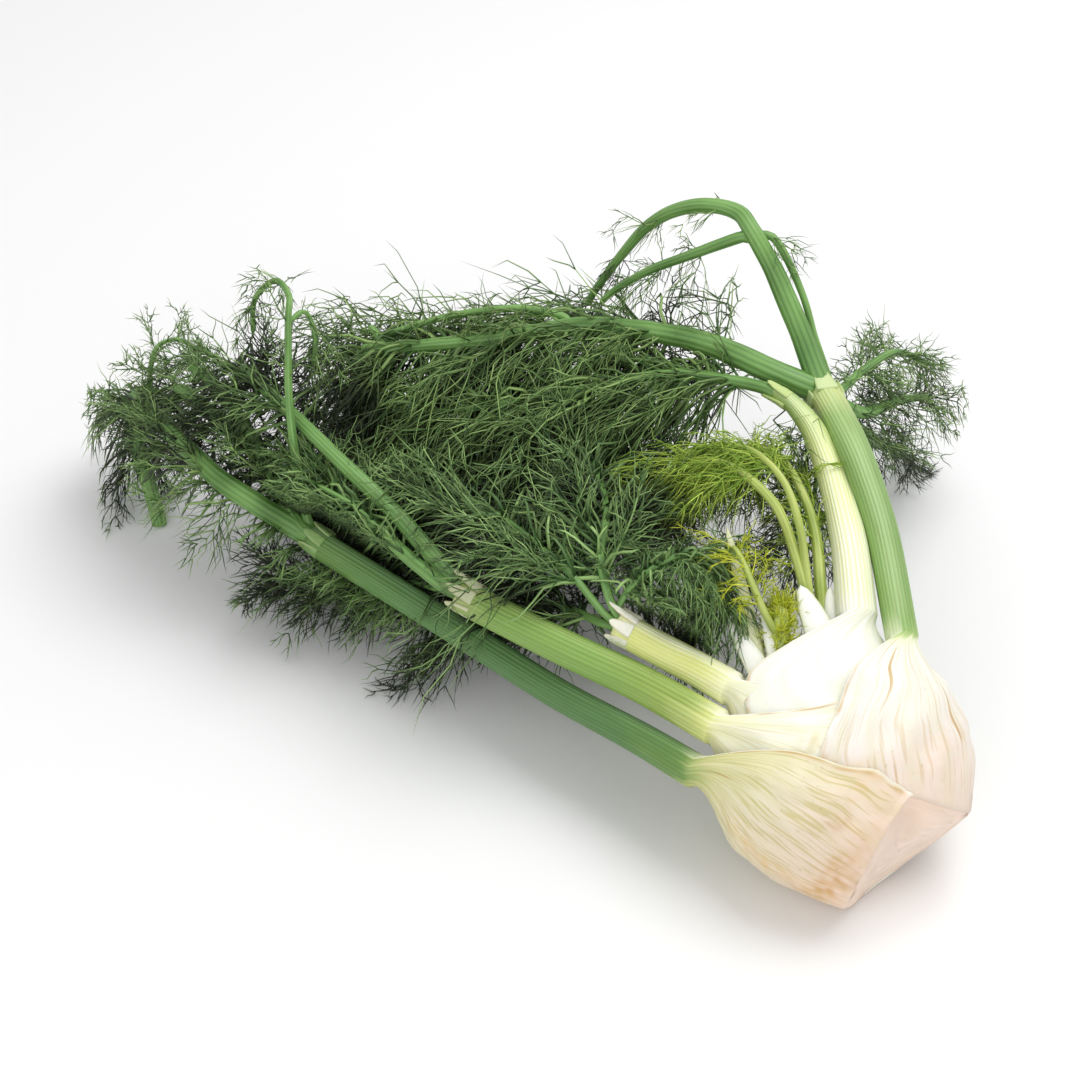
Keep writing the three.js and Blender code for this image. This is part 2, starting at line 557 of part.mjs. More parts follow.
// Shortest distance between the segments a0-a1 and b0-b1.
function segmentDistance(a0, a1, b0, b1) {
  const u = a1.clone().sub(a0);
  const v = b1.clone().sub(b0);
  const w = a0.clone().sub(b0);
  const [uu, uv, vv, uw, vw] = [u.dot(u), u.dot(v), v.dot(v), u.dot(w), v.dot(w)];
  const clamp = (x) => THREE.MathUtils.clamp(x, 0, 1);
  const det = uu * vv - uv * uv;
  let s = det > 1e-9 ? clamp((uv * vw - vv * uw) / det) : 0;
  const t = clamp((uv * s + vw) / vv);
  s = clamp((uv * t - uw) / uu);
  return w.addScaledVector(u, s).addScaledVector(v, -t).length();
}

// Whether a point is clear of the bulb.
function clearOfBulb(point, room) {
  const local = point.clone().sub(BASE);
  const [x, y, height] = [ACROSS, FACE, UP].map((axis) => local.dot(axis));
  if (height < -8 || height > 118) return true;
  const across = Math.abs(x - along(OUTLINE, height, 3)) / (along(OUTLINE, height, 1) + room);
  const out = Math.abs(y) / (along(OUTLINE, height, 2) + room);
  return across ** SQUARENESS + out ** SQUARENESS > 1;
}

// Whether a thread along these points stays clear of the bulb and of the other pieces.
function isClear(owner, points) {
  const samples = points.slice(1).flatMap((p, i) => [p, p.clone().lerp(points[i], 0.5)]);
  if (!samples.every((p) => clearOfBulb(p, BULB_ROOM))) return false;
  return rods.every((rod) => rod.owner === owner || points.slice(1).every((p, i) =>
    segmentDistance(points[i], p, rod.a, rod.b) > THREAD_ROOM + rod.radius + GAP));
}

// A direction at an angle to a stem's tangent, turned round it from straight up.
function branchOff(tangent, sweep, turn) {
  const helper = Math.abs(tangent.z) > 0.9 ? vec(-1, 0, 0) : vec(0, 0, 1);
  const up = helper.projectOnPlane(tangent).normalize();
  const side = tangent.clone().cross(up);
  return tangent.clone().multiplyScalar(Math.cos(radians(sweep)))
    .addScaledVector(up, Math.sin(radians(sweep)) * Math.cos(radians(turn)))
    .addScaledVector(side, Math.sin(radians(sweep)) * Math.sin(radians(turn)));
}

// A point that is no lower than the surface that the part lies on.
const above = (point) => point.setZ(Math.max(point.z, THREAD + GROUND_ROOM));

// The tips of the pair of side threads at a place on a spray: forward and out to each side.
function forkTips(place, tangent, length, seed) {
  return [-1, 1].map((side) => {
    const [a, b, c] = [0, 1, 2].map((n) => draw(seed + n * 0.31, side + 2));
    const way = branchOff(tangent, lerp(...FORK_SWEEP, a), side * lerp(...FORK_TURN, b));
    return above(place.clone().addScaledVector(way, length * lerp(0.75, 1.1, c)));
  });
}

// The lines of one spray: a main thread that droops, and pairs of side threads along it. A side
// thread that would touch another piece is left out.
function sprayLines(owner, root, direction, bend, length, seed) {
  const curve = new THREE.QuadraticBezierCurve3(
    root,
    above(root.clone().addScaledVector(direction, 0.5 * length)),
    above(root.clone().addScaledVector(direction, length).addScaledVector(bend, BEND * length)),
  );
  const main = [0, 0.5, 1].map((s) => curve.getPoint(s));
  if (!isClear(owner, main)) return null;
  const pairs = FORKS.map(([s, share], n) => {
    const place = curve.getPoint(s);
    const tangent = curve.getTangent(s);
    const tips = forkTips(place, tangent, share * length, seed + 3.1 * n);
    return { place, tangent, tips: tips.map((tip) => (isClear(owner, [place, tip]) ? tip : null)) };
  });
  return { main, pairs };
}

// A spray in one skin. The main thread has three sides, sharp at both ends. At each pair of side
// threads it has two rings close together, and the two upper faces between them are drawn out to
// the tips.
function spraySolid({ main, pairs }) {
  const corners = [main[0]];
  const rings = [[0, 0, 0]];
  const addRing = (centre, tangent, radius) => {
    const ring = sectionRing(centre, tangent, radius, 3);
    rings.push(ring.map((p) => corners.push(p) - 1));
  };
  pairs.forEach(({ place, tangent }, n) => {
    const radius = lerp(THREAD, THREAD_TIP, n / pairs.length);
    addRing(place.clone().addScaledVector(tangent, -FORK_ROOT / 2), tangent, radius);
    addRing(place.clone().addScaledVector(tangent, FORK_ROOT / 2), tangent, radius);
  });
  const tip = corners.push(main[2]) - 1;
  rings.push([tip, tip, tip]);
  const triangles = [];
  const add = adder(triangles);
  for (let i = 0; i + 1 < rings.length; i += 1) {
    for (let j = 0; j < 3; j += 1) {
      const k = (j + 1) % 3;
      const quad = [rings[i][j], rings[i][k], rings[i + 1][k], rings[i + 1][j]];
      const pair = i % 2 === 1 && i < rings.length - 2 ? pairs[(i - 1) / 2] : null;
      const forkTip = pair && j !== 1 ? pair.tips[j === 0 ? 1 : 0] : null;
      if (forkTip) {
        const apex = corners.push(forkTip) - 1;
        quad.forEach((corner, n) => add(corner, quad[(n + 1) % 4], apex));
      } else {
        add(quad[0], quad[1], quad[2]);
        add(quad[0], quad[2], quad[3]);
      }
    }
  }
  return solidFrom(corners.flatMap((p) => p.toArray()), triangles);
}

// A stem's sprays leave it left and right by turns. Each takes the first of its seeded directions
// that keeps clear of the other pieces.
function spraysOf(owner, stem, seed) {
  const curve = new THREE.CatmullRomCurve3(stem.path);
  const solids = [];
  for (let i = 0; i < stem.sprays; i += 1) {
    const s = lerp(stem.leafy[0], stem.leafy[1], (i + 0.5) / stem.sprays);
    const root = curve.getPointAt(s);
    const tangent = curve.getTangentAt(s);
    const side = i % 2 === 0 ? 1 : -1;
    const bend = SAG.clone().add(stem.flow).addScaledVector(tangent, FORWARD);
    for (let k = 0; k < TRIES; k += 1) {
      const key = seed + i * 1.7 + k * 0.41;
      const [a, b, c] = [0, 1, 2].map((n) => draw(key, n + 1));
      const turn = side * SPRAY_TURN + (b - 0.5) * (SPRAY_SPREAD + 2 * k * SPRAY_TURN / TRIES);
      const taper = lerp(1.15, 0.85, i / stem.sprays) * (1 - 0.015 * k);
      const length = stem.reach * taper * lerp(0.85, 1.15, c);
      const direction = branchOff(tangent, lerp(...SPRAY_SWEEP, a), turn);
      const lines = sprayLines(owner, root, direction, bend, length, key);
      if (lines) {
        addRods(owner, lines.main, lines.main.map(() => THREAD));
        lines.pairs.forEach(({ place, tips }) => tips.filter(Boolean).forEach((tip) => {
          addRods(owner, [place, tip], [THREAD, THREAD]);
        }));
        solids.push(spraySolid(lines));
        break;
      }
    }
  }
  return solids;
}

// Points along a stem's middle line, with the radius at each.
function stemLine(stem) {
  const curve = new THREE.CatmullRomCurve3(stem.path);
  const step = STEM_STEP * lerp(...stem.radius, 0.5);
  const steps = Math.max(3, Math.round(curve.getLength() / step));
  const points = Array.from({ length: steps + 1 }, (_, i) => curve.getPointAt(i / steps));
  return { points, radii: points.map((_, i) => lerp(...stem.radius, i / steps)) };
}

// ---- The part ----------------------------------------------------------------------------------

const fennel = new THREE.Group();

function addNode(name, solid, color, roughness) {
  const { numProp, vertProperties, triVerts } = solid.getMesh();
  const geometry = new THREE.BufferGeometry();
  geometry.setAttribute('position', new THREE.BufferAttribute(vertProperties, numProp));
  geometry.setIndex(new THREE.BufferAttribute(triVerts, 1));
  geometry.computeVertexNormals();
  const mesh = new THREE.Mesh(geometry, new THREE.MeshStandardMaterial({ color, roughness, metalness: 0 }));
  mesh.name = name;
  fennel.add(mesh);
}

// Everything below the surface that the bulb lies on.
const ground = toManifold(new THREE.BoxGeometry(1200, 1200, 100).translate(0, 0, -50));

// A solid with a gap's width of room round it.
function roomFor(solid) {
  const steps = [ACROSS, FACE, UP].flatMap((axis) => [-GAP, GAP].map((by) => (
    axis.clone().multiplyScalar(by).toArray())));
  return wasm.Manifold.union([solid, ...steps.map((step) => solid.translate(step))]);
}

const plate = plateSolid().subtract(ground);
addNode('root_plate', plate, 0xe8d3b8, 0.7);
const taken = [roomFor(plate), ground];
for (const [name, leaf] of Object.entries(LEAVES)) {
  const solid = largest(leafSolid(leaf).subtract(wasm.Manifold.union(taken)));
  addNode(name, solid, leaf.color, 0.5);
  taken.push(roomFor(leafSolid(leaf)));
}
const heart = largest(heartSolid().subtract(wasm.Manifold.union(taken)));
addNode('heart', heart, 0xf2f1df, 0.5);

// Every stalk and stem is marked as taken before the first spray grows.
for (const [name, leaf] of Object.entries(LEAVES)) {
  const curve = stalkCurve(leaf);
  const steps = Math.round(curve.getLength() / STALK_STEP);
  const points = Array.from({ length: steps + 1 }, (_, i) => curve.getPointAt(i / steps));
  addRods(name, points, points.map((_, i) => along(leaf.size, i / steps, 2)));
}
for (const [name, frond] of Object.entries(FRONDS)) {
  for (const stem of frond.stems) {
    const { points, radii } = stemLine(stem);
    addRods(name, points, radii);
  }
}

Object.entries(FRONDS).forEach(([name, frond], index) => {
  const solids = frond.stems.flatMap((stem, k) => {
    const { points, radii } = stemLine(stem);
    return [thread(points, radii, STEM_SIDES), ...spraysOf(name, stem, SEED + 100 * index + 10 * k)];
  });
  const room = roomFor(frond.leaf === 'heart' ? heart : leafSolid(LEAVES[frond.leaf]));
  addNode(name, largest(wasm.Manifold.union(solids).subtract(room).subtract(ground)), frond.color, 0.6);
});

export default fennel;
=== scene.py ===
# %% [markdown]
# # A fennel bulb, picked and laid on its side
#
# A fennel bulb is a stack of clasping leaf bases round a short root plate. Every leaf base narrows
# into a ribbed stalk, and every stalk ends in a feathery frond of fine threads. The solids of the
# bulb, the stalks and the stems are in the frame already. This lesson dresses them: each solid is
# replaced by a finer surface of the same form, worked out with numpy.
#
# All lengths in the tables are millimetres, as a ruler reads. MM turns them into metres as a mesh
# is made.

# %% Open the frame and keep its size
import math
import bpy
import numpy as np
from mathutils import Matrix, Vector


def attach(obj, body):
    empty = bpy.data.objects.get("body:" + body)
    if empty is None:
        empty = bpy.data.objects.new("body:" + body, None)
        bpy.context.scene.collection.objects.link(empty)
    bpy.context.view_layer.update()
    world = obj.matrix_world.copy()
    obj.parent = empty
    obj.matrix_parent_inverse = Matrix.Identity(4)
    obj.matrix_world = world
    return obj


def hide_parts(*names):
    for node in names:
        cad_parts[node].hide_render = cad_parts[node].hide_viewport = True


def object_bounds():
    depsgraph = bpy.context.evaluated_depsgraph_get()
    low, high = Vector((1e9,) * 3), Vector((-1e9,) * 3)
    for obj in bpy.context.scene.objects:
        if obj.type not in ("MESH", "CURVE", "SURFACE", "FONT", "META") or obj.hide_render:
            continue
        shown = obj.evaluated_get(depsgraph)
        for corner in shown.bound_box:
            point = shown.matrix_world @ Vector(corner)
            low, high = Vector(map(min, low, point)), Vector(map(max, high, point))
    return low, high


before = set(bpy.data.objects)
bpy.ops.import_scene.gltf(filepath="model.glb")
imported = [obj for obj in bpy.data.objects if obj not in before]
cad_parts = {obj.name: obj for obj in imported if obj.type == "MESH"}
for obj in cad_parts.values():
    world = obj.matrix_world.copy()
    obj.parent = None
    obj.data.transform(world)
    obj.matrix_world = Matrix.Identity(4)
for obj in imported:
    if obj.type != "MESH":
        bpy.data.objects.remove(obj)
CAD_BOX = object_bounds()
MM = 0.001
print("nodes:", sorted(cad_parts))
print("box of the solids:", [list(corner) for corner in CAD_BOX])

# %% [markdown]
# ## The camera
#
# The bulb is looked down on from in front, as on a table, with a long lens that keeps the stalks
# from spreading towards the viewer. A shift isn't needed: the camera aims at the middle of the
# whole plant.

# %% Camera
LOOK_AT = Vector((-0.1318, 0.0793, 0.1150))
CAMERA_DISTANCE = 1.134
CAMERA_ELEVATION = math.radians(42)
LENS = 90

eye = Vector((0, -math.cos(CAMERA_ELEVATION), math.sin(CAMERA_ELEVATION)))
camera = bpy.data.objects.new("camera", bpy.data.cameras.new("camera"))
bpy.context.scene.collection.objects.link(camera)
camera.data.lens = LENS
camera.data.clip_start = 0.05
camera.location = LOOK_AT + eye * CAMERA_DISTANCE
camera.rotation_euler = (-eye).to_track_quat("-Z", "Y").to_euler()
bpy.context.scene.camera = camera
print("camera at", [round(x, 3) for x in camera.location])

# %% [markdown]
# ## Small tools
#
# Some helpers come back in every piece. The first are a soft step and a blend. On the plant nothing
# starts or stops at a hard line, so "from here on" is nearly always a soft step.

# %% Steps and blends
def smooth(x, low, high):
    """0 below low, 1 above high, and 3t² - 2t³ on the way, with t the share of the way."""
    t = np.clip((x - low) / (high - low), 0, 1)
    return t * t * (3 - 2 * t)


def mix(a, b, share):
    """a where share is 0, b where it is 1, and a straight blend between."""
    return a + (b - a) * share


def unit(v):
    """Vectors divided by their own length."""
    return v / np.maximum(np.linalg.norm(v, axis=-1, keepdims=True), 1e-12)


print("a soft step at 0, 1/4, 1/2 and 1:", smooth(np.array([0, 0.25, 0.5, 1]), 0, 1))

# %% [markdown]
# ## Curves through a few chosen values
#
# A shape that is known at a few places needs a curve between them. Straight lines would leave facets
# on the skin, and one polynomial through all the places would swing. Cubics from place to place that
# share their slopes do neither. The same rule serves a table of widths and the middle line of a
# stalk.

# %% Tables and lines
def along(rows, position, column=1):
    """A value from table rows that start with a position: between two rows it is the cubic that
    meets both with the slope from the row before to the row after."""
    table = np.asarray(rows, float)
    x, y = table[:, 0], table[:, column]
    slope = np.empty(len(x))
    slope[1:-1] = (y[2:] - y[:-2]) / (x[2:] - x[:-2])
    slope[0], slope[-1] = (y[1] - y[0]) / (x[1] - x[0]), (y[-1] - y[-2]) / (x[-1] - x[-2])
    i = np.clip(np.searchsorted(x, position, side="right") - 1, 0, len(x) - 2)
    width = x[i + 1] - x[i]
    s = np.clip((position - x[i]) / width, 0, 1)
    return ((2 * s**3 - 3 * s**2 + 1) * y[i] + (s**3 - 2 * s**2 + s) * width * slope[i]
            + (3 * s**2 - 2 * s**3) * y[i + 1] + (s**3 - s**2) * width * slope[i + 1])


def line_through(points, count):
    """Evenly spaced points on a smooth line through given ones, and its length. The line is
    a cubic in the running sum of the roots of the chords, measured and cut in equal steps."""
    p = np.asarray(points, float)
    knots = np.concatenate([[0], np.cumsum(np.linalg.norm(np.diff(p, axis=0), axis=1) ** 0.5)])
    fine = np.linspace(0, knots[-1], 1200)
    dense = np.stack([along(np.column_stack([knots, p[:, k]]), fine) for k in range(3)], axis=1)
    run = np.concatenate([[0], np.cumsum(np.linalg.norm(np.diff(dense, axis=0), axis=1))])
    even = np.linspace(0, run[-1], count)
    return np.stack([np.interp(even, run, dense[:, k]) for k in range(3)], axis=1), run[-1]


print("a line over a bump of 10 mm on 40 mm is",
      round(line_through([(0, 0, 0), (20, 0, 10), (40, 0, 0)], 3)[1], 1), "mm long")

# %% [markdown]
# ## Unevenness
#
# Nothing that grew is quite even. A noise from Blender's library is made point by point, so this
# one is made of a few waves instead: it works on whole arrays, is smooth everywhere, and is the
# same on every run, because its draws are seeded.

# %% A soft random field
def ripple(a, b, scale, seed, waves=9):
    """A soft random field round 0, mostly between -1 and 1: waves of seeded direction and phase,
    with lengths near scale, added up."""
    draw = np.random.default_rng(seed)
    turn, phase = draw.uniform(0, 2 * np.pi, (2, waves))
    number = 2 * np.pi / scale * draw.uniform(0.6, 1.7, waves)
    total = sum(np.sin(n * (np.cos(t) * a + np.sin(t) * b) + p)
                for n, t, p in zip(number, turn, phase))
    return total / math.sqrt(waves)


sample = ripple(np.linspace(0, 100, 500), 0, 10, 1)
print("a ripple, lowest and highest:", sample.min().round(2), sample.max().round(2))

# %% [markdown]
# ## Colours
#
# The tables give colours as a screen shows them, from 0 to 255. A shader reckons with the light
# itself, so each is turned into light first.

# %% Screen colours into light
def paint(*colour):
    """A screen colour, 0 to 255, as the light that a shader reckons with."""
    c = np.asarray(colour, float) / 255
    return np.where(c <= 0.04045, c / 12.92, ((c + 0.055) / 1.055) ** 2.4)


def paint_along(rows, position):
    """A colour for each position, blended between rows of position, red, green and blue."""
    table = np.asarray(rows, float)
    colours = paint(*table[:, 1:].T)
    return np.stack([np.interp(position, table[:, 0], colours[k]) for k in range(3)], axis=-1)


print("a stalk's green as light:", paint(96, 140, 78).round(3))

# %% [markdown]
# ## From arrays to a mesh
#
# Every piece is a set of points and a set of triangles in whole arrays. One function hands them to
# Blender, with a colour for each point, called tint, and a UV map that runs round and along the
# piece. The shaders read both, so a streak follows the leaf wherever the leaf bends.

# %% Making a mesh
def make_piece(name, points, triangles, tint, uv=None, material=None):
    """A mesh object from points in millimetres, triangles, a colour and a UV for each point. A
    fourth number in the colour says how strongly the point is veined."""
    mesh = bpy.data.meshes.new(name)
    mesh.vertices.add(len(points))
    mesh.vertices.foreach_set("co", (points * MM).astype(np.float32).ravel())
    mesh.loops.add(triangles.size)
    mesh.loops.foreach_set("vertex_index", triangles.astype(np.int32).ravel())
    mesh.polygons.add(len(triangles))
    mesh.polygons.foreach_set("loop_start", np.arange(0, triangles.size, 3, dtype=np.int32))
    mesh.polygons.foreach_set("use_smooth", np.ones(len(triangles), bool))
    colour = mesh.color_attributes.new("tint", "FLOAT_COLOR", "POINT")
    rgba = np.concatenate([tint, np.ones((len(tint), 1))], axis=1)[:, :4]
    colour.data.foreach_set("color", rgba.astype(np.float32).ravel())
    if uv is not None:
        layer = mesh.uv_layers.new(name="lengthwise")
        layer.data.foreach_set("uv", uv[triangles.ravel()].astype(np.float32).ravel())
    mesh.update(calc_edges=True)
    mesh.validate()
    piece = bpy.data.objects.new(name, mesh)
    bpy.context.scene.collection.objects.link(piece)
    if material is not None:
        mesh.materials.append(material)
    return piece


print("a mesh takes lengths in metres: 1 mm is", MM)

# %% [markdown]
# ## Triangles of grids and ends
#
# Nearly every skin here is a grid of rings. The columns close on themselves, and each end is closed
# by a lid on a flat ring or a fan on a round one, so no seam and no pole stays open. Which way a
# grid faces depends on how its rings run. The sign of the volume that it closes tells, and that is
# quicker than having Blender work out the normals again.

# %% Triangles
def grid_triangles(rows, columns, start=0, flip=False):
    """Two triangles for each cell of a grid whose columns close on themselves."""
    i, j = np.meshgrid(np.arange(rows - 1), np.arange(columns), indexing="ij")
    a = start + i * columns + j
    b = start + i * columns + (j + 1) % columns
    cells = np.stack([a, b, b + columns, a, b + columns, a + columns], axis=-1).reshape(-1, 3)
    return cells[:, ::-1] if flip else cells


def lid(ring, flip=False):
    """Triangles across the end of a flat ring: a strip from its first half to its second half."""
    half = len(ring) // 2
    near, far = ring[:half], ring[::-1][:half]
    a, b, c, d = near[:-1], near[1:], far[1:], far[:-1]
    cells = np.concatenate([np.stack([a, c, b], 1), np.stack([a, d, c], 1)])
    return cells[:, ::-1] if flip else cells


def fan(centre, ring, flip=False):
    """Triangles from one point to every side of a ring."""
    cells = np.stack([np.full(len(ring), centre), np.roll(ring, -1), ring], axis=1)
    return cells[:, ::-1] if flip else cells


def outward(points, triangles):
    """The triangles, all turned over if the volume they close comes out negative."""
    a, b, c = (points[triangles[:, k]] for k in range(3))
    volume = np.einsum("ij,ij->i", a, np.cross(b, c)).sum()
    return triangles[:, ::-1] if volume < 0 else triangles


print("a grid of 3 rings of 8 points has", len(grid_triangles(3, 8)), "triangles")

# %% [markdown]
# ## The bulb's form
#
# The bulb leans: it lies on its lower left, with its face to the viewer. So it has axes of its own,
# up from the cut base to the heart, across, and out of its face. Its section is a superellipse,
# a little squarer than an ellipse, and an outline table gives its half width and half thickness.

# %% Axes and outline
BASE = np.array([21, -17.9, 20.9])
UP = unit(np.array([-0.469, 0.724, 0.506]))
ACROSS = np.array([0.879, 0.436, 0.190])
ACROSS = unit(ACROSS - UP * (ACROSS @ UP))
FACE = np.cross(ACROSS, UP)

# Height above the base, half width, half thickness, sideways shift.
OUTLINE = [
    [-6, 28, 20, -3], [8, 39.2, 29, -3.8], [18, 46.4, 34, -4.1], [30, 52.8, 37.5, -4.2],
    [45, 56.4, 39, -4.3], [60, 56, 37.5, -4], [75, 51.6, 33.5, -3.2], [90, 45.2, 28, -1.2],
    [104, 39.5, 22, 2], [118, 32, 16, 4],
]
SQUARENESS = 2.2
WALL = 2.0        # a leaf base is this thick in its middle
EDGE_WALL = 0.5   # and this thin at its free edge
LAYER = 3.6       # from one leaf base to the next one in

print("the bulb leans", round(math.degrees(math.acos(UP[2])), 1), "degrees from upright")

# %% [markdown]
# ## Points on the bulb
#
# The leaf bases lie in each other like shells. Each one is the bulb's outline, drawn in by the
# thickness of the layers outside it, so two leaves can't cut through each other. At the foot all of
# them end at the cut. The knife went through in two strokes: the cut slopes across the bulb and has
# a corner on its face.

# %% Sections, cut and layers
CUT_SLOPE = 5
CUT_CORNER = 21           # how high the corner stands
CUT_CORNER_AT = 79        # its angle round the bulb
CUT_CORNER_SPREAD = 21, 35    # degrees over which it dies away, to the right and to the left
CUT_CORNER_ROUND = 5


def from_bulb(x, y, height):
    """A point from its places across, out of the face and up."""
    x, y, height = (np.asarray(k, float)[..., None] for k in (x, y, height))
    return BASE + x * ACROSS + y * FACE + height * UP


def bulb_point(angle, height, inset):
    """A point on the superellipse at that height, drawn in by inset. angle runs in degrees from
    the right side over the face."""
    power = 2 / SQUARENESS
    c, s = np.cos(np.radians(angle)), np.sin(np.radians(angle))
    x = (along(OUTLINE, height, 1) - inset) * np.sign(c) * np.abs(c) ** power
    y = (along(OUTLINE, height, 2) - inset) * np.sign(s) * np.abs(s) ** power
    return from_bulb(x + along(OUTLINE, height, 3), y, height)


def cut_height(angle):
    """Height of the cut base: a slope, plus a corner on the face that dies away exponentially to
    both sides, with its top rounded off."""
    turn = (angle - CUT_CORNER_AT + 180) % 360 - 180
    spread = np.where(turn > 0, CUT_CORNER_SPREAD[1], CUT_CORNER_SPREAD[0])
    away = (np.hypot(turn, CUT_CORNER_ROUND) - CUT_CORNER_ROUND) / spread
    return CUT_SLOPE * np.cos(np.radians(angle)) + CUT_CORNER * np.exp(-away)


def layer_inset(layer, height, angle):
    """How far in a layer lies. Where an outer leaf has turned into its stalk, the inner ones come
    out to take its place."""
    inset = layer * LAYER + 0 * height
    right = smooth(np.cos(np.radians(angle)), 0.1, 0.6)
    if layer >= 1:
        inset = inset - LAYER * np.maximum(smooth(height, 66, 84), right)
    if layer >= 3:
        inset = inset - LAYER * smooth(height, 92, 108)
    return inset


every_degree = np.arange(360.0)
print("the cut lies", cut_height(every_degree).min().round(1), "to",
      cut_height(every_degree).max().round(1), "mm above the base")
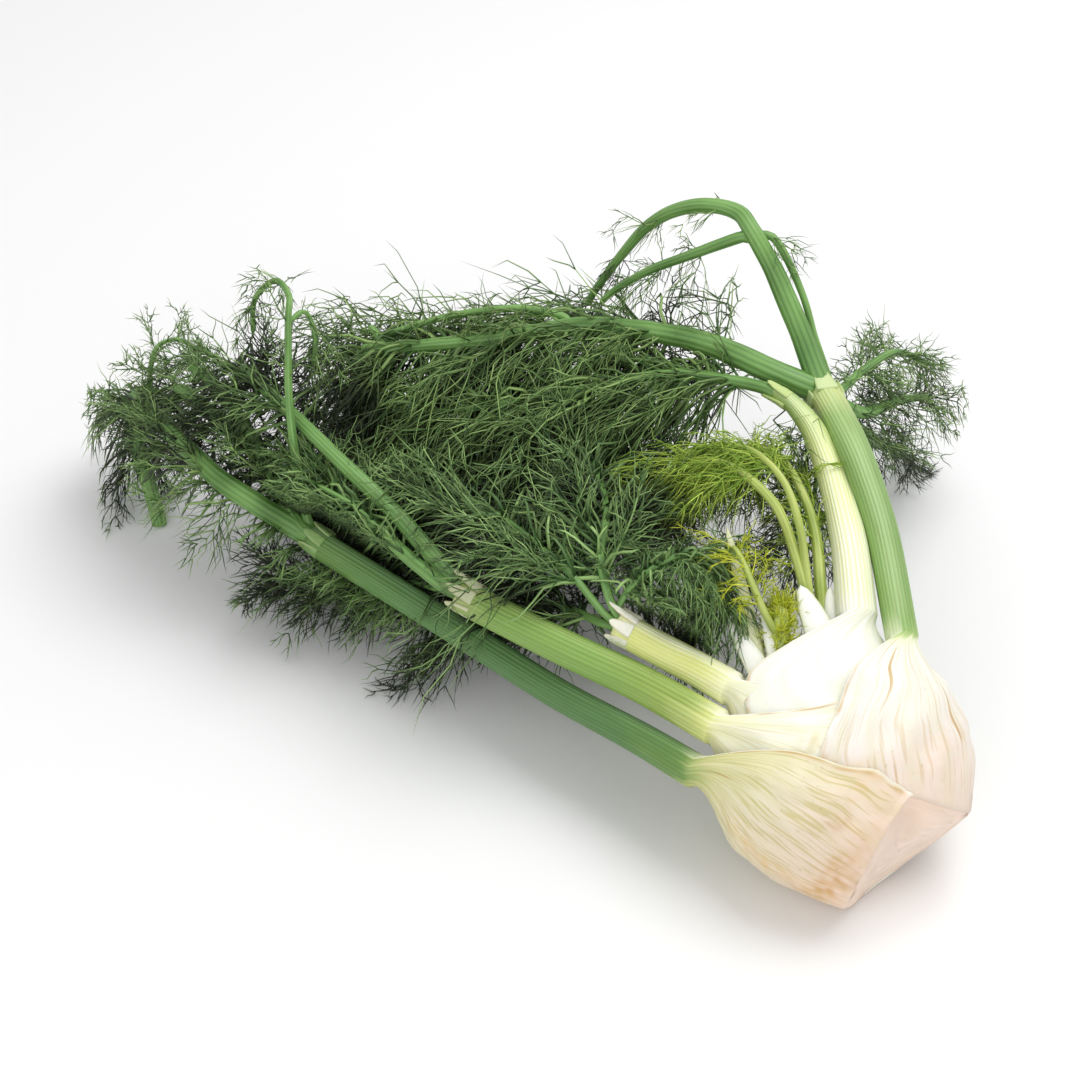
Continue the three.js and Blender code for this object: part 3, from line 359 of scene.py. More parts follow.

# %% [markdown]
# ## The leaves
#
# A leaf is one skin: rings of points run up the clasping base, turn into the rings of the stalk
# and run on to its end. A ring goes along the outside from one free edge to the other and back on
# the inside, so that the two edges are closed. The free edges thin out and hug the leaf below.
# The ribs are real relief, raised at the same places round the ring all the way up, so they fan
# out over the bulb by themselves where the ring grows wide.

# %% What sets one leaf apart
# slot: its material in the solids. side: angle of the leaf's middle. layer: how many leaves lie
# outside it. foot: how far it starts above the cut. top: height where the base has become a stalk.
# crest: how much higher its free edges stand than its middle. blend: where on the way up it starts
# to become a stalk, in its middle and at its edges. front, back: how many degrees each wing reaches
# round the bulb, from foot to top. start: the stalk's first point in the bulb's axes; route: the
# rest of its middle line. size: half width and half thickness along the stalk. colours: distance
# from the stalk's start and screen colour. light: a painted highlight, a lighter strip along the
# stalk where the light falls on it, as its place round the ring, width, colour and strength.
# collar: papery ends round the end of the stalk, each as angle from straight up, length, flare and
# width; paper: the colours of their middle and edges.
LEAVES = {
    "leaf_1_left_outer": dict(
        slot="outer_leaf", side=180, layer=0, foot=0, top=79, crest=0, blend=(0.72, 0.72), seed=11,
        front=[[0, 102], [0.13, 98], [0.38, 89], [0.54, 80], [0.73, 68], [0.9, 55], [1, 38]],
        back=[[0, 98], [0.5, 78], [0.8, 56], [1, 34]],
        start=(-60, 2, 75),
        route=[(-89, 31, 46), (-123, 58, 45), (-158, 88, 46), (-194, 116, 50), (-227, 141, 54),
               (-235, 147, 56)],
        size=[[0, 7.4, 8], [0.3, 6.6, 7.2], [1, 6.4, 7]],
        colours=[[-78, 240, 214, 198], [-62, 237, 217, 202], [-44, 234, 221, 200],
                 [-28, 233, 225, 196], [-15, 223, 218, 170], [-6, 184, 198, 126],
                 [6, 116, 156, 80], [40, 96, 140, 78], [110, 94, 138, 80], [175, 106, 152, 84],
                 [200, 120, 162, 88]],
        light=(0.555, 0.05, (150, 190, 140), 0.6),
        collar=[(-30, 3, 1, 5), (25, 2.5, 1, 4.5), (80, 3, 1, 6), (-90, 3, 1, 6), (180, 3, 1, 7)],
        paper=((140, 176, 104), (222, 226, 176))),
    "leaf_2_right_outer": dict(
        slot="bright_leaf", side=0, layer=1, foot=0, top=86, crest=3, blend=(0.72, 0.86), seed=22,
        front=[[0, 125], [0.46, 112], [0.57, 102], [0.7, 88], [0.84, 76], [0.94, 62], [1, 18]],
        back=[[0, 120], [0.5, 100], [0.75, 70], [1, 18]],
        start=(42.5, 12, 84),
        route=[(15, 98, 98), (9, 125, 108), (3, 148, 113), (-5, 184, 110)],
        size=[[0, 7, 7.6], [0.5, 7.2, 7.8], [1, 7.4, 8]],
        colours=[[-96, 234, 208, 192], [-70, 238, 221, 210], [-45, 240, 232, 227],
                 [-20, 244, 242, 238], [-12, 246, 246, 238], [-7, 242, 247, 222],
                 [-3, 186, 212, 138], [8, 146, 186, 104], [60, 144, 184, 106], [108, 160, 196, 118],
                 [126, 214, 224, 168]],
        light=(0.5, 0.1, (192, 216, 158), 0.4),
        collar=[(0, 7, 2, 10), (85, 6, 1.5, 10), (-85, 6, 1.5, 10), (180, 5, 1, 10)],
        paper=((206, 222, 164), (150, 178, 98))),
    "leaf_3_left_middle": dict(
        slot="pale_leaf", side=180, layer=2, foot=11, top=90, crest=0, blend=(0.76, 0.76), seed=33,
        front=[[0, 118], [0.5, 112], [0.67, 96], [0.8, 74], [0.9, 54], [1, 20]],
        back=[[0, 105], [0.6, 86], [0.8, 58], [1, 20]],
        start=(-44.5, 9, 87),
        route=[(-89, 47, 63), (-123, 68, 65), (-158, 91, 67), (-166, 96, 68)],
        size=[[0, 8, 9], [1, 7.2, 8]],
        colours=[[-85, 242, 226, 212], [-40, 249, 244, 232], [-20, 249, 247, 232],
                 [-9, 243, 243, 208], [2, 222, 228, 156], [20, 164, 190, 94],
                 [60, 144, 184, 90], [110, 148, 186, 94], [135, 176, 196, 116],
                 [142, 226, 228, 190]],
        light=(0.55, 0.045, (192, 216, 134), 0.5),
        collar=[(15, 7, 3, 6), (-35, 6, 2, 6), (-95, 4, 1, 7), (70, 5, 2, 6), (165, 4, 1, 8)],
        paper=((214, 218, 178), (158, 146, 88))),
    "leaf_4_right_middle": dict(
        slot="pale_leaf", side=0, layer=3, foot=11, top=103, crest=5, blend=(0.72, 0.92), seed=44,
        front=[[0, 122], [0.5, 130], [0.78, 140], [0.9, 134], [0.96, 100], [1, 20]],
        back=[[0, 110], [0.7, 100], [0.88, 66], [1, 20]],
        start=(31.3, 7, 101.5),
        route=[(0, 97, 97), (-4, 131, 103), (-11, 154, 111), (-20, 167, 117), (-27, 174, 118)],
        size=[[0, 8.6, 9.6], [0.4, 7.4, 8.2], [0.65, 6.4, 7.2], [0.85, 4.8, 5.2], [1, 3.2, 3.4]],
        colours=[[-96, 244, 237, 229], [-40, 248, 247, 243], [2, 249, 249, 245],
                 [30, 250, 250, 238], [56, 244, 246, 216], [76, 232, 238, 184],
                 [96, 204, 220, 144], [112, 166, 196, 106]],
        light=(0.5, 0.1, (255, 255, 248), 0.4),
        collar=[(0, 5, 1, 5), (120, 5, 1, 5), (-120, 5, 1, 5)],
        paper=((196, 214, 140), (140, 170, 90))),
    "leaf_5_left_inner": dict(
        slot="pale_leaf", side=180, layer=4, foot=11, top=102, crest=0, blend=(0.8, 0.8), seed=55,
        front=[[0, 112], [0.7, 100], [0.9, 56], [1, 20]],
        back=[[0, 108], [0.7, 96], [0.9, 50], [1, 20]],
        start=(-31, 9, 98),
        route=[(-68, 50, 71), (-85, 60, 74), (-98, 68, 76)],
        size=[[0, 7.6, 8.2], [1, 7, 7.6]],
        colours=[[-90, 250, 246, 236], [-20, 250, 250, 238], [0, 246, 247, 218],
                 [20, 236, 238, 184], [50, 228, 233, 164], [76, 246, 246, 220]],
        light=(0.56, 0.055, (253, 253, 246), 0.9),
        collar=[(5, 7, 3, 4), (-40, 3, 1, 6), (40, 6, 2, 4), (100, 3, 1, 7), (-100, 3, 1, 7),
                (180, 3, 1, 8)],
        paper=((244, 242, 224), (190, 164, 112))),
}
print("leaves, from the outside in:", list(LEAVES))

# %% [markdown]
# ## Round a ring
#
# A bump map would do for the ribs from afar, but on a stalk they catch the light one by one and
# show at its outline, so they are real relief. No two are alike: each one's height and place is
# drawn once and holds from foot to tip. The points of a ring lie closer together near the free
# edges, where the form changes fastest.

# %% Places round a ring, and ribs
HALF_RING = 66      # points on the outside of a ring, and again on the inside
RIBS = 26           # round a whole ring


def ring_places():
    """Place along the outside of a ring, -1 to 1 from edge to edge, closer together near the
    edges, and the share of the whole ring: the inside has the same places on the way back."""
    even = np.linspace(-1, 1, HALF_RING)
    place = mix(even, np.sin(even * np.pi / 2), 0.45)
    share = np.concatenate([(place + 1) / 4, 0.5 + (1 - place[::-1]) / 4])
    return place, share


def rib_relief(share, seed):
    """Ridges round a ring, 0 to 1: narrow furrows between broad ribs, no two ribs quite alike."""
    draw = np.random.default_rng(seed)
    jitter = np.interp(share, np.linspace(0, 1, 12), draw.uniform(-0.6, 0.6, 12))
    wave = np.abs(np.cos(np.pi * RIBS * share + jitter)) ** 0.8
    height = np.interp(share, np.linspace(0, 1, RIBS), draw.uniform(0.55, 1, RIBS))
    return wave * height


print("points round a ring:", 2 * HALF_RING, "ribs:", RIBS)

# %% [markdown]
# ## The clasping base
#
# A leaf base is a curved wall, thick in its middle, that thins out to both sides and hugs the next
# one. A Solidify modifier could give a sheet a wall, but only an even one. So the inside is a
# surface of its own: a ring goes along the outside and back on the inside, and what lies between is
# a formula of the place. The cut foot gets a small rounding, because a hard edge there would look
# like sheet metal.

# %% Rings of a leaf base
EDGE_DIP = 1.9      # how far a free edge dips to the leaf below
FOOT_ROUND = 1.6    # height over which the cut foot of a leaf is rounded
RIB_BASE = 0.16
DENT = 0.45         # how far the base swells and sinks


def base_rings(leaf, s):
    """Rings of the clasping base at shares s of its height. Outside and inside lie one wall
    apart; towards the free edges the wall thins and both dip to the leaf below, and at the foot
    they come together in a rounded rim."""
    place, share = (row[None, :] for row in ring_places())
    s = s[:, None]
    uneven = 1 + 0.007 * ripple(s * 60, s * 0, 22, leaf["seed"]) * smooth(s, 0, 0.1)
    reach = np.where(place < 0, along(leaf["back"], s), along(leaf["front"], s) * uneven)
    turn = -1 if leaf["side"] == 180 else 1
    angle = leaf["side"] + turn * place * reach
    foot = cut_height(angle) + leaf["foot"]
    edge = np.abs(place)
    height = mix(foot, leaf["top"] + leaf["crest"] * edge ** 2, s)
    dip = EDGE_DIP * smooth(edge, 0.74, 1.0) * smooth(s, 0, 0.06) * (1 - smooth(s, 0.7, 0.95))
    inset = layer_inset(leaf["layer"], height, angle) + dip
    inset = inset - DENT * ripple(angle, height, 26, leaf["seed"] + 1) * smooth(s, 0.02, 0.2)
    wall = mix(WALL, EDGE_WALL, edge ** 7)
    rim = np.clip((height - foot) / FOOT_ROUND, 0, 1)
    pinch = wall * 0.5 * (1 - np.sqrt(np.maximum(1 - (1 - rim) ** 2, 0.03)))
    ribs = RIB_BASE * rib_relief(share[:, :HALF_RING], leaf["seed"]) * smooth(s, 0.03, 0.12)
    ribs = ribs * (1 - edge ** 6)
    outer = bulb_point(angle, height, inset + pinch - ribs)
    inner = bulb_point(angle, height, inset + wall - pinch)
    both = np.concatenate([outer, inner[:, ::-1]], axis=1)
    about = dict(angle=np.concatenate([angle, angle[:, ::-1]], 1),
                 foot=np.concatenate([foot, foot[:, ::-1]], 1),
                 height=np.concatenate([height, height[:, ::-1]], 1))
    return both, about


print("a leaf's wall:", WALL, "mm in its middle,", EDGE_WALL, "mm at its free edge")

# %% [markdown]
# ## The stalk
#
# A stalk is round outside and flatter inside, and the ribs of the base run on along it. A curve
# with a bevel makes a tube too, but its rings have to meet the base's rings point to point, so the
# stalk is made of rings of the same kind, set square to its middle line.

# %% Rings of a stalk
STALK_BACK = 0.8    # how far the flatter inner side stands out, against the outer side
RIB_STALK = 0.34


def stalk_rings(leaf, centre, tangent, s):
    """Rings of the stalk round points of its middle line, rounded outside and flatter inside."""
    inward = bulb_point(leaf["side"], 60, 20) - bulb_point(leaf["side"], 60, 0)
    out = unit(-inward - tangent * (tangent @ -inward)[:, None])
    across = unit(np.cross(tangent, out))
    across = np.where((across @ FACE)[:, None] < 0, -across, across)
    place, share = ring_places()
    half = 90 * (HALF_RING - 1) / HALF_RING * place
    phi = np.radians(np.concatenate([half, 180 - half[::-1]]))[None, :]
    share = share[None, :]
    size_in = along(leaf["size"], s, 1)[:, None]
    size_out = along(leaf["size"], s, 2)[:, None]
    lift = RIB_STALK * rib_relief(share, leaf["seed"])
    flat = np.where(np.cos(phi) < 0, STALK_BACK, 1)
    x = np.sin(phi) * (size_in + lift)
    y = np.cos(phi) * (size_out + lift) * flat
    return centre[:, None] + x[..., None] * across[:, None] + y[..., None] * out[:, None]


print("ribs stand out", RIB_STALK, "mm on a stalk and", RIB_BASE, "mm on a base")

# %% [markdown]
# ## Stains
#
# Where the bulb was knocked or cut it goes brown, and where it lay on earth it yellows. A texture
# painted by hand would be one more file. A stain is a soft spot at an angle and a height on the
# bulb instead, with its edge broken up, so it can be moved by changing two numbers.

# %% Stains on the bulb
# leaf, angle, height, half width in degrees, half height, colour, strength
STAINS = [
    ("leaf_1_left_outer", 90, 34, 15, 8, (238, 210, 178), 0.55),
    ("leaf_1_left_outer", 100, 14, 20, 9, (240, 208, 184), 0.5),
    ("leaf_1_left_outer", 128, 12, 14, 4, (222, 178, 124), 0.5),
    ("leaf_1_left_outer", 112, 26, 5, 3, (206, 164, 112), 0.5),
    ("leaf_1_left_outer", 158, 6, 30, 5, (212, 160, 92), 0.8),
    ("leaf_1_left_outer", 168, 30, 9, 24, (226, 186, 116), 0.55),
    ("leaf_1_left_outer", 134, -1, 6, 3, (150, 96, 40), 0.9),
    ("leaf_2_right_outer", 104, 50, 5, 4, (222, 184, 124), 0.7),
    ("leaf_2_right_outer", 96, 40, 9, 6, (232, 204, 160), 0.5),
    ("leaf_2_right_outer", 62, 30, 26, 12, (240, 214, 200), 0.5),
    ("leaf_2_right_outer", 14, 9, 10, 5, (150, 100, 58), 0.7),
    ("leaf_3_left_middle", 102, 60, 8, 4, (214, 200, 140), 0.5),
]


def stained(name, tint, angle, height, side):
    """The tint with each stain of that leaf laid over it, strongest in its middle and broken up
    by a ripple; side is 1 outside the leaf and 0 inside."""
    for n, (leaf, at, up, wide, tall, colour, strength) in enumerate(STAINS):
        if leaf == name:
            turn = (angle - at + 180) % 360 - 180
            spot = np.exp(-(turn / wide) ** 2 - ((height - up) / tall) ** 2)
            rough = 0.75 + 0.5 * ripple(angle * 0.9, height, 7, 300 + n)
            share = np.clip(spot * rough * strength * side, 0, 1)[..., None]
            tint = mix(tint, paint(*colour), share)
    return tint


print(len(STAINS), "stains")

# %% [markdown]
# ## From white to green
#
# The base of a leaf is white because it grew without light, and it greens within a few millimetres
# where the stalk begins. So a colour table is read against the distance from that place, and the
# ribs shift the reading, which gives the pointed tongues of green between them. Furrows are darker
# than ribs and old free edges dry to tan. A stalk also gets a painted highlight: a lighter strip
# along its upper side, where the light falls.
# All of it is read from the same places as the relief, so colour and form stay in step.

# %% The tint of a leaf
TONGUE = 4.2        # how far the ribs shift the greening, in millimetres
PATCH = 5           # and how far it wanders besides


def leaf_tint(name, leaf, distance, about, share):
    """The colour of every point of a leaf: the table along it, read with a jagged shift, a painted
    highlight along the stalk, darker in the furrows, tan along the free edges, then the stains."""
    outside = (share < 0.5) * 1.0
    tongues = TONGUE * np.abs(np.sin(np.pi * RIBS * 0.5 * share + leaf["seed"]))
    patchy = PATCH * ripple(share * 60, distance * 0.35, 16, leaf["seed"] + 2)
    reading = distance + tongues - 2 + patchy * smooth(distance, -60, 20)
    tint = paint_along(leaf["colours"], reading)
    furrow = 1 - rib_relief(share, leaf["seed"])
    green = smooth(distance, -18, 12)
    lines = mix(0.10, 0.40, green) * furrow * mix(outside, 1, green)
    # Painted highlight: a lighter strip round the stalk's ring where the light falls on it.
    at, width, colour, strength = leaf["light"]
    painted_highlight = strength * np.exp(-((share - at) / width) ** 2) * smooth(distance, 0, 14)
    tint = mix(tint, paint(*colour), painted_highlight[..., None])
    pale = smooth(tint.mean(axis=-1, keepdims=True), 0.3, 0.75)
    in_furrows = mix(0.9, np.array([0.4, 0.3, 1.5]), pale)    # a white leaf's furrows are yellow
    tint = tint * (1 - lines[..., None] * in_furrows)
    inner_white = (1 - outside) * (1 - green)
    tint = mix(tint, paint(246, 244, 230), inner_white[..., None])
    edge = np.abs(share * 4 - 1)
    dried = smooth(edge, 0.955, 0.99) * outside * smooth(distance, -8, -20)
    dried = dried * (0.55 + 0.6 * ripple(distance, share * 10, 9, leaf["seed"] + 3))
    tint = mix(tint, paint(206, 168, 104), np.clip(dried, 0, 0.85)[..., None])
    if about is not None:
        tint = stained(name, tint, about["angle"], about["height"], outside)
    return tint


print("the ribs shift the greening by up to", TONGUE, "mm")

# %% [markdown]
# ## Pointed leaf ends
#
# Where the frond leaves its stalk, the sheath ends in a few dry, pointed flaps that clasp the
# stems. The youngest leaves in the heart are white points of the same form. A flat card with a leaf
# painted on it would look cut out, so each is a cupped lens with two faces that closes to a tip.

# %% Pointed ends and collars
TIP_ROWS = 16
TIP_ROUND = 14
TIP_THICK = 1.3
CUPPED = 0.16       # depth of the cup as a share of the half width
COLLAR_FOOT = 8     # how far down the stalk a collar starts


def pointed_leaf(foot, tip, width, bend, face, seed, colours=((248, 248, 240), (206, 214, 120))):
    """A leaf end in one skin: rings of a cupped lens from foot to tip, whose width swells and then
    closes to a point as the root of 1 minus a power of the way up. face is the way it is cupped
    from; the colours are the middle's and the edges'."""
    s = np.linspace(0, 1, TIP_ROWS)[:, None]
    across = unit(np.cross(tip - foot, face))
    face = unit(np.cross(across, tip - foot))
    middle = foot + s * (tip - foot) + bend * s ** 2
    half = 0.5 * width * np.sqrt(np.maximum(1 - s ** 3.2, 0.0)) * mix(1, 0.72, s) + 0.12
    thick = TIP_THICK * (1 - 0.75 * s) + 0.1
    turn = np.linspace(0, 2 * np.pi, TIP_ROUND, endpoint=False)[None, :]
    x = half * np.cos(turn)
    cup = CUPPED * half * (np.cos(turn) ** 2)
    y = thick * np.sin(turn) - cup + 0.12 * ripple(x * 3, s * 9, 4, seed)
    points = (middle[:, None] + x[..., None] * across + y[..., None] * face).reshape(-1, 3)
    first, last = np.arange(TIP_ROUND), (TIP_ROWS - 1) * TIP_ROUND + np.arange(TIP_ROUND)
    triangles = np.concatenate([grid_triangles(TIP_ROWS, TIP_ROUND), lid(first),
                                lid(last, flip=True)])
    edge = np.abs(np.cos(turn)) ** 6 * (0.4 + 0.6 * s)
    tint = mix(paint(*colours[0]), paint(*colours[1]), (0.75 * edge)[..., None])
    uv = np.stack(np.broadcast_arrays(turn / 6.28, 0.3 * s), axis=-1)
    tint = np.concatenate([tint, 0 * tint[..., :1]], axis=-1)
    return points, outward(points, triangles), tint.reshape(-1, 4), uv.reshape(-1, 2)


def joined(shells):
    """Several shells as the arrays of one piece: each one's triangles count on from the last."""
    starts = np.cumsum([0] + [len(shell[0]) for shell in shells[:-1]])
    points, tint, uv = (np.concatenate([shell[k] for shell in shells]) for k in (0, 2, 3))
    triangles = np.concatenate([shell[1] + at for shell, at in zip(shells, starts)])
    return points, triangles, tint, uv


def collar(leaf, end, tangent):
    """Papery leaf ends that clasp the end of a stalk. Each starts on the stalk, a few millimetres
    down, at its angle from straight up, and reaches that far past the end, flaring outward."""
    up = unit(np.array([0, 0, 1.0]) - tangent * tangent[2])
    side = np.cross(tangent, up)
    radius = leaf["size"][-1][1] * 0.93
    shells = []
    for n, (angle, length, flare, width) in enumerate(leaf["collar"]):
        out = math.cos(math.radians(angle)) * up + math.sin(math.radians(angle)) * side
        foot = end - COLLAR_FOOT * tangent + radius * out
        tip = end + length * tangent + (radius + 0.4 * flare) * out
        shells.append(pointed_leaf(foot, tip, width, 0.6 * flare * out, -out, leaf["seed"] + n,
                                   leaf["paper"]))
    return shells


print("papery ends round the stalks:", sum(len(leaf["collar"]) for leaf in LEAVES.values()))

# %% [markdown]
# ## One leaf, whole
#
# Base, stalk and collar become one object. Two tubes pushed into each other would show a step where
# the base turns into the stalk. Instead the last rings of the base are blended, point by point, into
# rings of the stalk that start inside the bulb. Towards the free edges the blend may start later,
# so the shoulders of the base close round the stalk.

# %% Building a leaf
BASE_ROWS = 80
STALK_ROW = 3.0     # millimetres between two rings of a stalk
STALK_ROOT = 8      # how far a stalk's own shape reaches back into the leaf base
ON_GROUND = 0.25    # what would sink lower is pressed flat at this height
VEINED_STALK = 0.7  # how strongly a stalk is veined, against the base


def leaf_rings(leaf, middle, tangent, length):
    """Base rings, blended over the last of the base into stalk rings that start inside the bulb
    on a straight line back from the stalk, then the stalk's rings. What would sink into the ground
    is pressed flat on it. Returns the rings, how far along the leaf each point is from where the
    stalk starts, and what base_rings tells about the base."""
    s = np.concatenate([[0, 0.004, 0.009, 0.015], np.linspace(0.022, 1, BASE_ROWS - 4)])
    base, about = base_rings(leaf, s)
    back = STALK_ROOT * (1 - s) / (1 - leaf["blend"][0])
    stem = stalk_rings(leaf, middle[0] - tangent[0] * back[:, None],
                       np.repeat(tangent[:1], len(s), axis=0), 0 * s)
    place = ring_places()[0]
    edge = np.concatenate([place, place[::-1]])[None, :] ** 2
    merged = smooth(s[:, None], mix(*leaf["blend"], edge), 1)
    base = mix(base, stem, merged[..., None])
    run = np.linspace(0, 1, len(middle))[1:]
    stalk = stalk_rings(leaf, middle[1:], tangent[1:], run)
    points = np.concatenate([base, stalk])
    points[..., 2] = np.maximum(points[..., 2], ON_GROUND)
    up_base = about["height"] - leaf["top"] - (leaf["crest"] + 9 * (1 - merged)) * edge
    up_stalk = np.broadcast_to((run * length)[:, None], stalk.shape[:2])
    return points, np.concatenate([up_base, up_stalk]), about


def build_leaf(name, leaf, material):
    """The rings as a grid with a lid at both ends, tinted, and the collar. Veins show fully on the
    base, fade at its foot and are fainter on the stalk."""
    line = [from_bulb(*leaf["start"]), *leaf["route"]]
    length = line_through(line, 3)[1]
    middle = line_through(line, int(length / STALK_ROW) + 1)[0]
    tangent = unit(np.gradient(middle, axis=0))
    points, distance, about = leaf_rings(leaf, middle, tangent, length)
    share = np.broadcast_to(ring_places()[1], points.shape[:2])
    base, stalk = slice(None, BASE_ROWS), slice(BASE_ROWS, None)
    tint = np.concatenate([leaf_tint(name, leaf, distance[base], about, share[base]),
                           leaf_tint(name, leaf, distance[stalk], None, share[stalk])])
    veined = np.concatenate([smooth(about["height"] - about["foot"], 2, 12),
                             VEINED_STALK + 0 * distance[stalk]])
    tint = np.concatenate([tint, veined[..., None]], axis=-1)
    columns = points.shape[1]
    last = (len(points) - 1) * columns + np.arange(columns)
    triangles = np.concatenate([grid_triangles(len(points), columns),
                                lid(np.arange(columns)), lid(last, flip=True)])
    flat = points.reshape(-1, 3)
    uv = np.stack([share, distance / 100], axis=-1).reshape(-1, 2)
    skin = (flat, outward(flat, triangles), tint.reshape(-1, 4), uv)
    piece = make_piece(name + "_skin", *joined([skin, *collar(leaf, middle[-1], tangent[-1])]),
                       material)
    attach(piece, "root")
    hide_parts(name)
    print(piece.name, len(piece.data.polygons), "triangles, stalk", round(length), "mm")
    return piece


print("rings of a base:", BASE_ROWS, "and one on a stalk every", STALK_ROW, "mm")

# %% [markdown]
# ## Plant skin as a material
#
# Raw plant tissue is waxy and lets some light in. An image wrapped round the leaf would have seams
# and one fixed size, so the shader works its marks out. It takes the tint of each point, breaks it up
# with streaks that run lengthwise, because their noise is stretched along the UV map, adds thin
# broken veins and small specks, and raises the streaks as a fine bump. Light that enters the white
# parts comes out again nearby, which subsurface scattering gives.

# %% Steps of a shader
def noise(tree, place, scale, detail, roughness=0.5):
    """A noise read at that place: 0 to 1, mostly near a half."""
    texture = tree.nodes.new("ShaderNodeTexNoise")
    texture.inputs["Scale"].default_value = scale
    texture.inputs["Detail"].default_value = detail
    texture.inputs["Roughness"].default_value = roughness
    tree.links.new(place, texture.inputs["Vector"])
    return texture.outputs["Fac"]


def stretched(tree, place, count, waves, shift=0):
    """The UV place times a count round the leaf and a number of waves for each 100 mm."""
    mapping = tree.nodes.new("ShaderNodeMapping")
    mapping.inputs["Scale"].default_value = (count, waves, 1)
    mapping.inputs["Location"].default_value = (shift, 0, 0)
    tree.links.new(place, mapping.inputs["Vector"])
    return mapping.outputs["Vector"]


def coloured(tree, value, positions, colours):
    """The first colour below the first position, the second above the second, and a straight
    blend between."""
    ramp = tree.nodes.new("ShaderNodeValToRGB")
    for element, position, colour in zip(ramp.color_ramp.elements, positions, colours):
        element.position = position
        element.color = (*colour, 1)
    tree.links.new(value, ramp.inputs["Fac"])
    return ramp.outputs["Color"]


def multiplied(tree, colour, by, share=None):
    """One colour times another, all of it or by a share read from a socket."""
    blend = tree.nodes.new("ShaderNodeMix")
    blend.data_type, blend.blend_type = "RGBA", "MULTIPLY"
    blend.inputs["Factor"].default_value = 1
    if share is not None:
        tree.links.new(share, blend.inputs["Factor"])
    tree.links.new(colour, blend.inputs["A"])
    tree.links.new(by, blend.inputs["B"])
    return blend.outputs["Result"]


def tinted_material(name, roughness):
    """A material with a node that reads the tint of each point."""
    material = bpy.data.materials.new(name)
    material.use_nodes = True
    tree = material.node_tree
    shader = tree.nodes["Principled BSDF"]
    shader.inputs["Roughness"].default_value = roughness
    tint = tree.nodes.new("ShaderNodeAttribute")
    tint.attribute_name = "tint"
    return material, tree, shader, tint


print("steps of a shader:", [step.__name__ for step in (noise, stretched, coloured, multiplied)])

# %% A shader for skin
WHITE = (1, 1, 1)
SPECKS = 420              # blotches to a metre in the noise that the specks are cut from
SKIN_BUMP = 0.0004        # metres
LIGHT_IN_SKIN = 0.002     # metres that light travels under the skin


def skin_material(name, streaks, marks, speck, roughness, under, bump):
    """Tint × streaks × marks × specks. streaks: (count round the leaf, waves for each 100 mm,
    strength). marks: thin broken lines, as (count, waves, level of the noise where they begin,
    colour that they multiply by), laid on as strongly as the tint's fourth number says. under:
    how much light goes under the skin."""
    material, tree, shader, tint = tinted_material(name, roughness)
    uv = tree.nodes.new("ShaderNodeUVMap")
    uv.uv_map = "lengthwise"
    count, waves, strength = streaks
    lines = noise(tree, stretched(tree, uv.outputs["UV"], count, waves), 1, 5, 0.62)
    dark_line = [1 - strength * k for k in (0.55, 0.5, 1.0)]
    colour = multiplied(tree, tint.outputs["Color"],
                        coloured(tree, lines, (0.34, 0.56), (dark_line, WHITE)))
    for count, waves, level, mark in marks:
        dashes = noise(tree, stretched(tree, uv.outputs["UV"], count, waves, count / 7), 1, 1)
        chosen = coloured(tree, dashes, (level, level + 0.09), (WHITE, mark))
        colour = multiplied(tree, colour, chosen, tint.outputs["Alpha"])
    body = tree.nodes.new("ShaderNodeTexCoord")
    dark_speck = [1 - speck * k for k in (0.6, 0.7, 1.0)]
    specks = noise(tree, body.outputs["Object"], SPECKS, 2)
    colour = multiplied(tree, colour, coloured(tree, specks, (0.66, 0.8), (WHITE, dark_speck)))
    tree.links.new(colour, shader.inputs["Base Color"])
    relief = tree.nodes.new("ShaderNodeBump")
    relief.inputs["Strength"].default_value = bump
    relief.inputs["Distance"].default_value = SKIN_BUMP
    tree.links.new(lines, relief.inputs["Height"])
    tree.links.new(relief.outputs["Normal"], shader.inputs["Normal"])
    shader.inputs["Subsurface Weight"].default_value = under
    shader.inputs["Subsurface Radius"].default_value = (1.0, 0.8, 0.5)
    shader.inputs["Subsurface Scale"].default_value = LIGHT_IN_SKIN
    return material


# Marks of a skin: count round it, waves for each 100 mm, level, and the colour they multiply by.
FINE_VEINS = (230, 5.0, 0.52, (0.84, 0.82, 0.60))
FAINT_VEINS = (210, 3.4, 0.55, (0.90, 0.85, 0.74))
DRY_MARKS = (92, 3.2, 0.64, (0.76, 0.58, 0.36))
FEW_MARKS = (60, 4.0, 0.68, (0.78, 0.62, 0.42))
SKINS = {
    "leaf_1_left_outer": skin_material("outer leaf skin", (60, 5, 0.16), [FINE_VEINS, FEW_MARKS],
                                       speck=0.25, roughness=0.46, under=0.12, bump=0.5),
    "leaf_2_right_outer": skin_material("bright leaf skin", (52, 4, 0.10), [FAINT_VEINS, DRY_MARKS],
                                        speck=0.22, roughness=0.44, under=0.15, bump=0.4),
    "leaf_3_left_middle": skin_material("middle leaf skin", (44, 4, 0.12), [FAINT_VEINS],
                                        speck=0.15, roughness=0.44, under=0.15, bump=0.4),
    "leaf_4_right_middle": skin_material("pale leaf skin", (50, 4, 0.06), [],
                                         speck=0.12, roughness=0.42, under=0.2, bump=0.35),
    "leaf_5_left_inner": skin_material("inner leaf skin", (46, 4, 0.10), [FAINT_VEINS],
                                       speck=0.12, roughness=0.42, under=0.2, bump=0.35),
}
print("skins:", [skin.name for skin in SKINS.values()])

# %% The five leaves
for leaf_name, leaf_data in LEAVES.items():
    build_leaf(leaf_name, leaf_data, SKINS[leaf_name])

# %% [markdown]
# ## Root plate
#
# The root plate is the short stem under the leaves. The knife went through it at a slant, so its
# face is a smooth, faintly ringed cut that has dried to a pale peach. A Boolean cut through the leaves
# would leave long thin triangles along the edge. So the face is made of rings of its own, which end
# just inside the rounded feet of the leaves.

